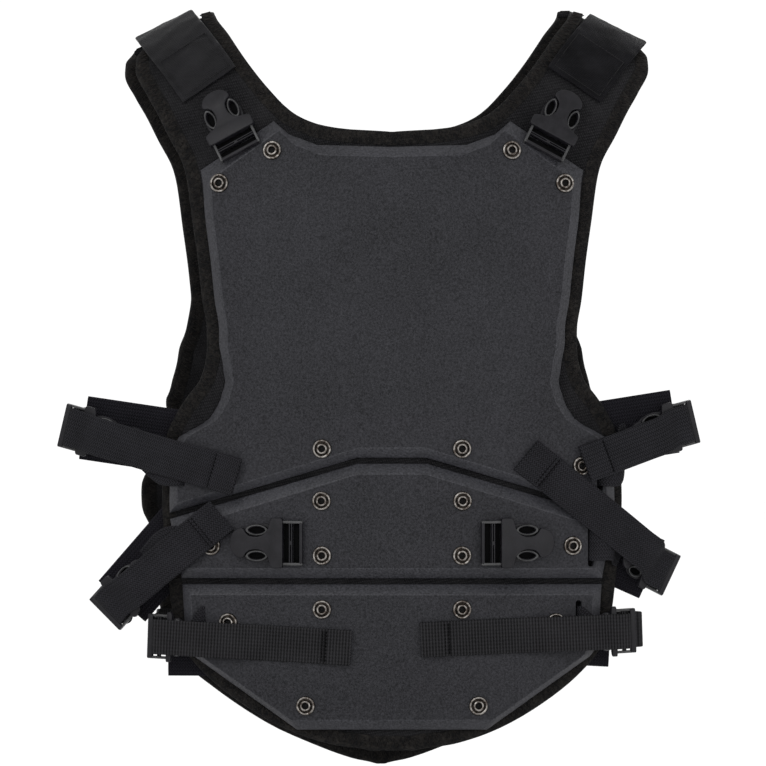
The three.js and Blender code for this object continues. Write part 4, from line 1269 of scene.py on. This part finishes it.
def makeSideStrap(row, placed):
    name = "side_strap_" + row["name"]
    line = smoothLine(strapStations(row, placed), web["step"])
    bm = bmesh.new()
    places = sweepWeb(bm, line, placed["width"], web["thick"])
    way = 1 if places[0][2].dot(formNormal(-1, places[0][0].x, places[0][0].z)) > 0 else -1
    fold = [entry for entry in line if entry[2] <= row["fold"]]
    sweepWeb(bm, fold, placed["width"] - 0.3, web["thick"], lift=way * (web["thick"] + 0.05))
    lines = []
    for back in web["seamBacks"]:
        base = min(places, key=lambda entry: abs(entry[3] - (row["fold"] - back)))
        outward = base[2] * way
        middle = base[0] + outward * (1.5 * web["thick"] + 0.1)
        edge = base[1] * (placed["width"] / 2 - 1.6)
        start, end = middle - edge, middle + edge
        count = max(1, round((end - start).length / web["seamPitch"]))
        lines += stitches(count, lambda t, a=start, b=end, o=outward: (a.lerp(b, t), o), 0.35)
    weave = webRibbed if placed["over"] else webNylon
    finishPiece(bm, name + "_webbing", name, [weave], sharp=60, merge=0)
    # the seam stitches are real thread drawn near black, which also paints the shade line at the fold's end
    threadPiece(name + "_stitches", lines, web["seamThread"], shadeAndStitchBlack)


def makeAnchor(row, placed):
    slot = slots[row["slot"]]
    half, v = slotPlace(slot)
    x = row["hand"] * half
    upright = Vector((0, 0, math.copysign(1, placed["wide"].z)))
    butt = web["thick"] / 2 + form["clearance"]
    stations = [
        (onForm(-1, x, v, plateLift + web["thick"] / 2), upright),
        (onForm(-1, x, v, plateTop - 0.6), upright),
        (onForm(-1, x + row["hand"] * 1.6, v, tailLift), upright),
    ]
    if not placed["over"]:
        edge = row["hand"] * (plates[slot["plate"]]["half"](v) + 1)
        stations.append((onForm(-1, edge, v, tailLift), upright.lerp(placed["wide"], 0.3)))
        stations.append((local(placed, -placed["length"] - 4, butt + 1), placed["wide"]))
    stations.append((local(placed, -placed["length"] - 0.6, butt), placed["wide"]))
    bm = bmesh.new()
    sweepWeb(bm, smoothLine(stations, 1.5), web["width"] - 3, web["thick"])
    name = "anchor_web_" + row["name"]
    finishPiece(bm, name + "_webbing", name, [webNylon], sharp=60, merge=0)


def makeFlap(row):
    out, down, turn = row["flap"]
    end = Vector(spotAt(row["hand"], out, down))
    angle = math.radians(turned(turn, row["hand"]))
    heading = Vector((math.cos(angle), math.sin(angle)))
    run = (abs(end.x) - sideAt(end.y)) / abs(heading.x) + web["flapLap"]
    stations = []
    for k in range(web["flapSteps"] + 1):
        at = end - heading * (run * k / web["flapSteps"])
        place = onForm(-1, at.x, at.y, -form["facetGap"] - web["flapThick"] / 2)
        stations.append((place, wideOnForm(-1, at.x, at.y, heading.x, heading.y, web["flapWidth"])))
    bm = bmesh.new()
    places = sweepWeb(bm, smoothLine(stations, web["step"]), web["flapWidth"], web["flapThick"])
    name = "side_flap_" + row["name"]
    piece = finishPiece(bm, name + "_webbing", name, [flapNylon], sharp=60, merge=0)
    flat = (web["flapWidth"] * 0.001, places[-1][3] * 0.001)


for row in sideStraps:
    placed = sideFrame(row)
    matrix = placed["matrix"] @ Matrix.Translation((-placed["length"], 0, 0))
    name = "side_buckle_" + row["name"]
    makeBuckle(name, placed["length"], sideBuckle["thick"], matrix, sideBuckle["barWide"])
    makeSideStrap(row, placed)
    makeAnchor(row, placed)
    makeFlap(row)
print("side straps ready")

# Floor, light and surroundings
studio = {"floor": -0.64, "size": 120.0, "world": 1.06, "aim": (0, 0, -0.28)}  # in metres


def makeStudio(s):
    bm = bmesh.new()
    bmesh.ops.create_grid(bm, x_segments=4, y_segments=4, size=s["size"] / 2)
    bmesh.ops.translate(bm, vec=(0, 0, s["floor"]), verts=bm.verts[:])
    mesh = bpy.data.meshes.new("floor")
    bm.to_mesh(mesh)
    bm.free()
    pale = Finish("pale floor")
    mesh.materials.append(pale.done({"Base Color": (0.98, 0.98, 0.98, 1), "Roughness": 0.9}))
    addObject("floor", mesh)
    world = bpy.data.worlds.new("studio")
    world.use_nodes = True
    background = world.node_tree.nodes["Background"]
    background.inputs["Color"].default_value = (1.0, 1.0, 1.0, 1)
    background.inputs["Strength"].default_value = s["world"]
    scene.world = world
    scene.view_settings.view_transform = "Standard"


lamps = [
    {"name": "key", "place": (-1.6, -2.6, 1.6), "size": 1.6, "power": 42.0},
    {"name": "fill", "place": (2.2, -2.4, 0.2), "size": 1.6, "power": 16.0},
    {"name": "low", "place": (0.2, -2.2, -0.45), "size": 1.2, "power": 10.0},
    {"name": "back", "place": (0.8, 2.6, 1.4), "size": 1.6, "power": 30.0},
]


def makeLamp(s):
    data = bpy.data.lights.new(s["name"], "AREA")
    data.size = s["size"]
    data.energy = s["power"]
    lamp = addObject(s["name"], data)
    lamp.location = s["place"]
    target = Vector(studio["aim"]) - Vector(s["place"])
    lamp.rotation_euler = target.to_track_quat("-Z", "Y").to_euler()


makeStudio(studio)
for lampRow in lamps:
    makeLamp(lampRow)
print("studio ready")

bpy.context.view_layer.update()
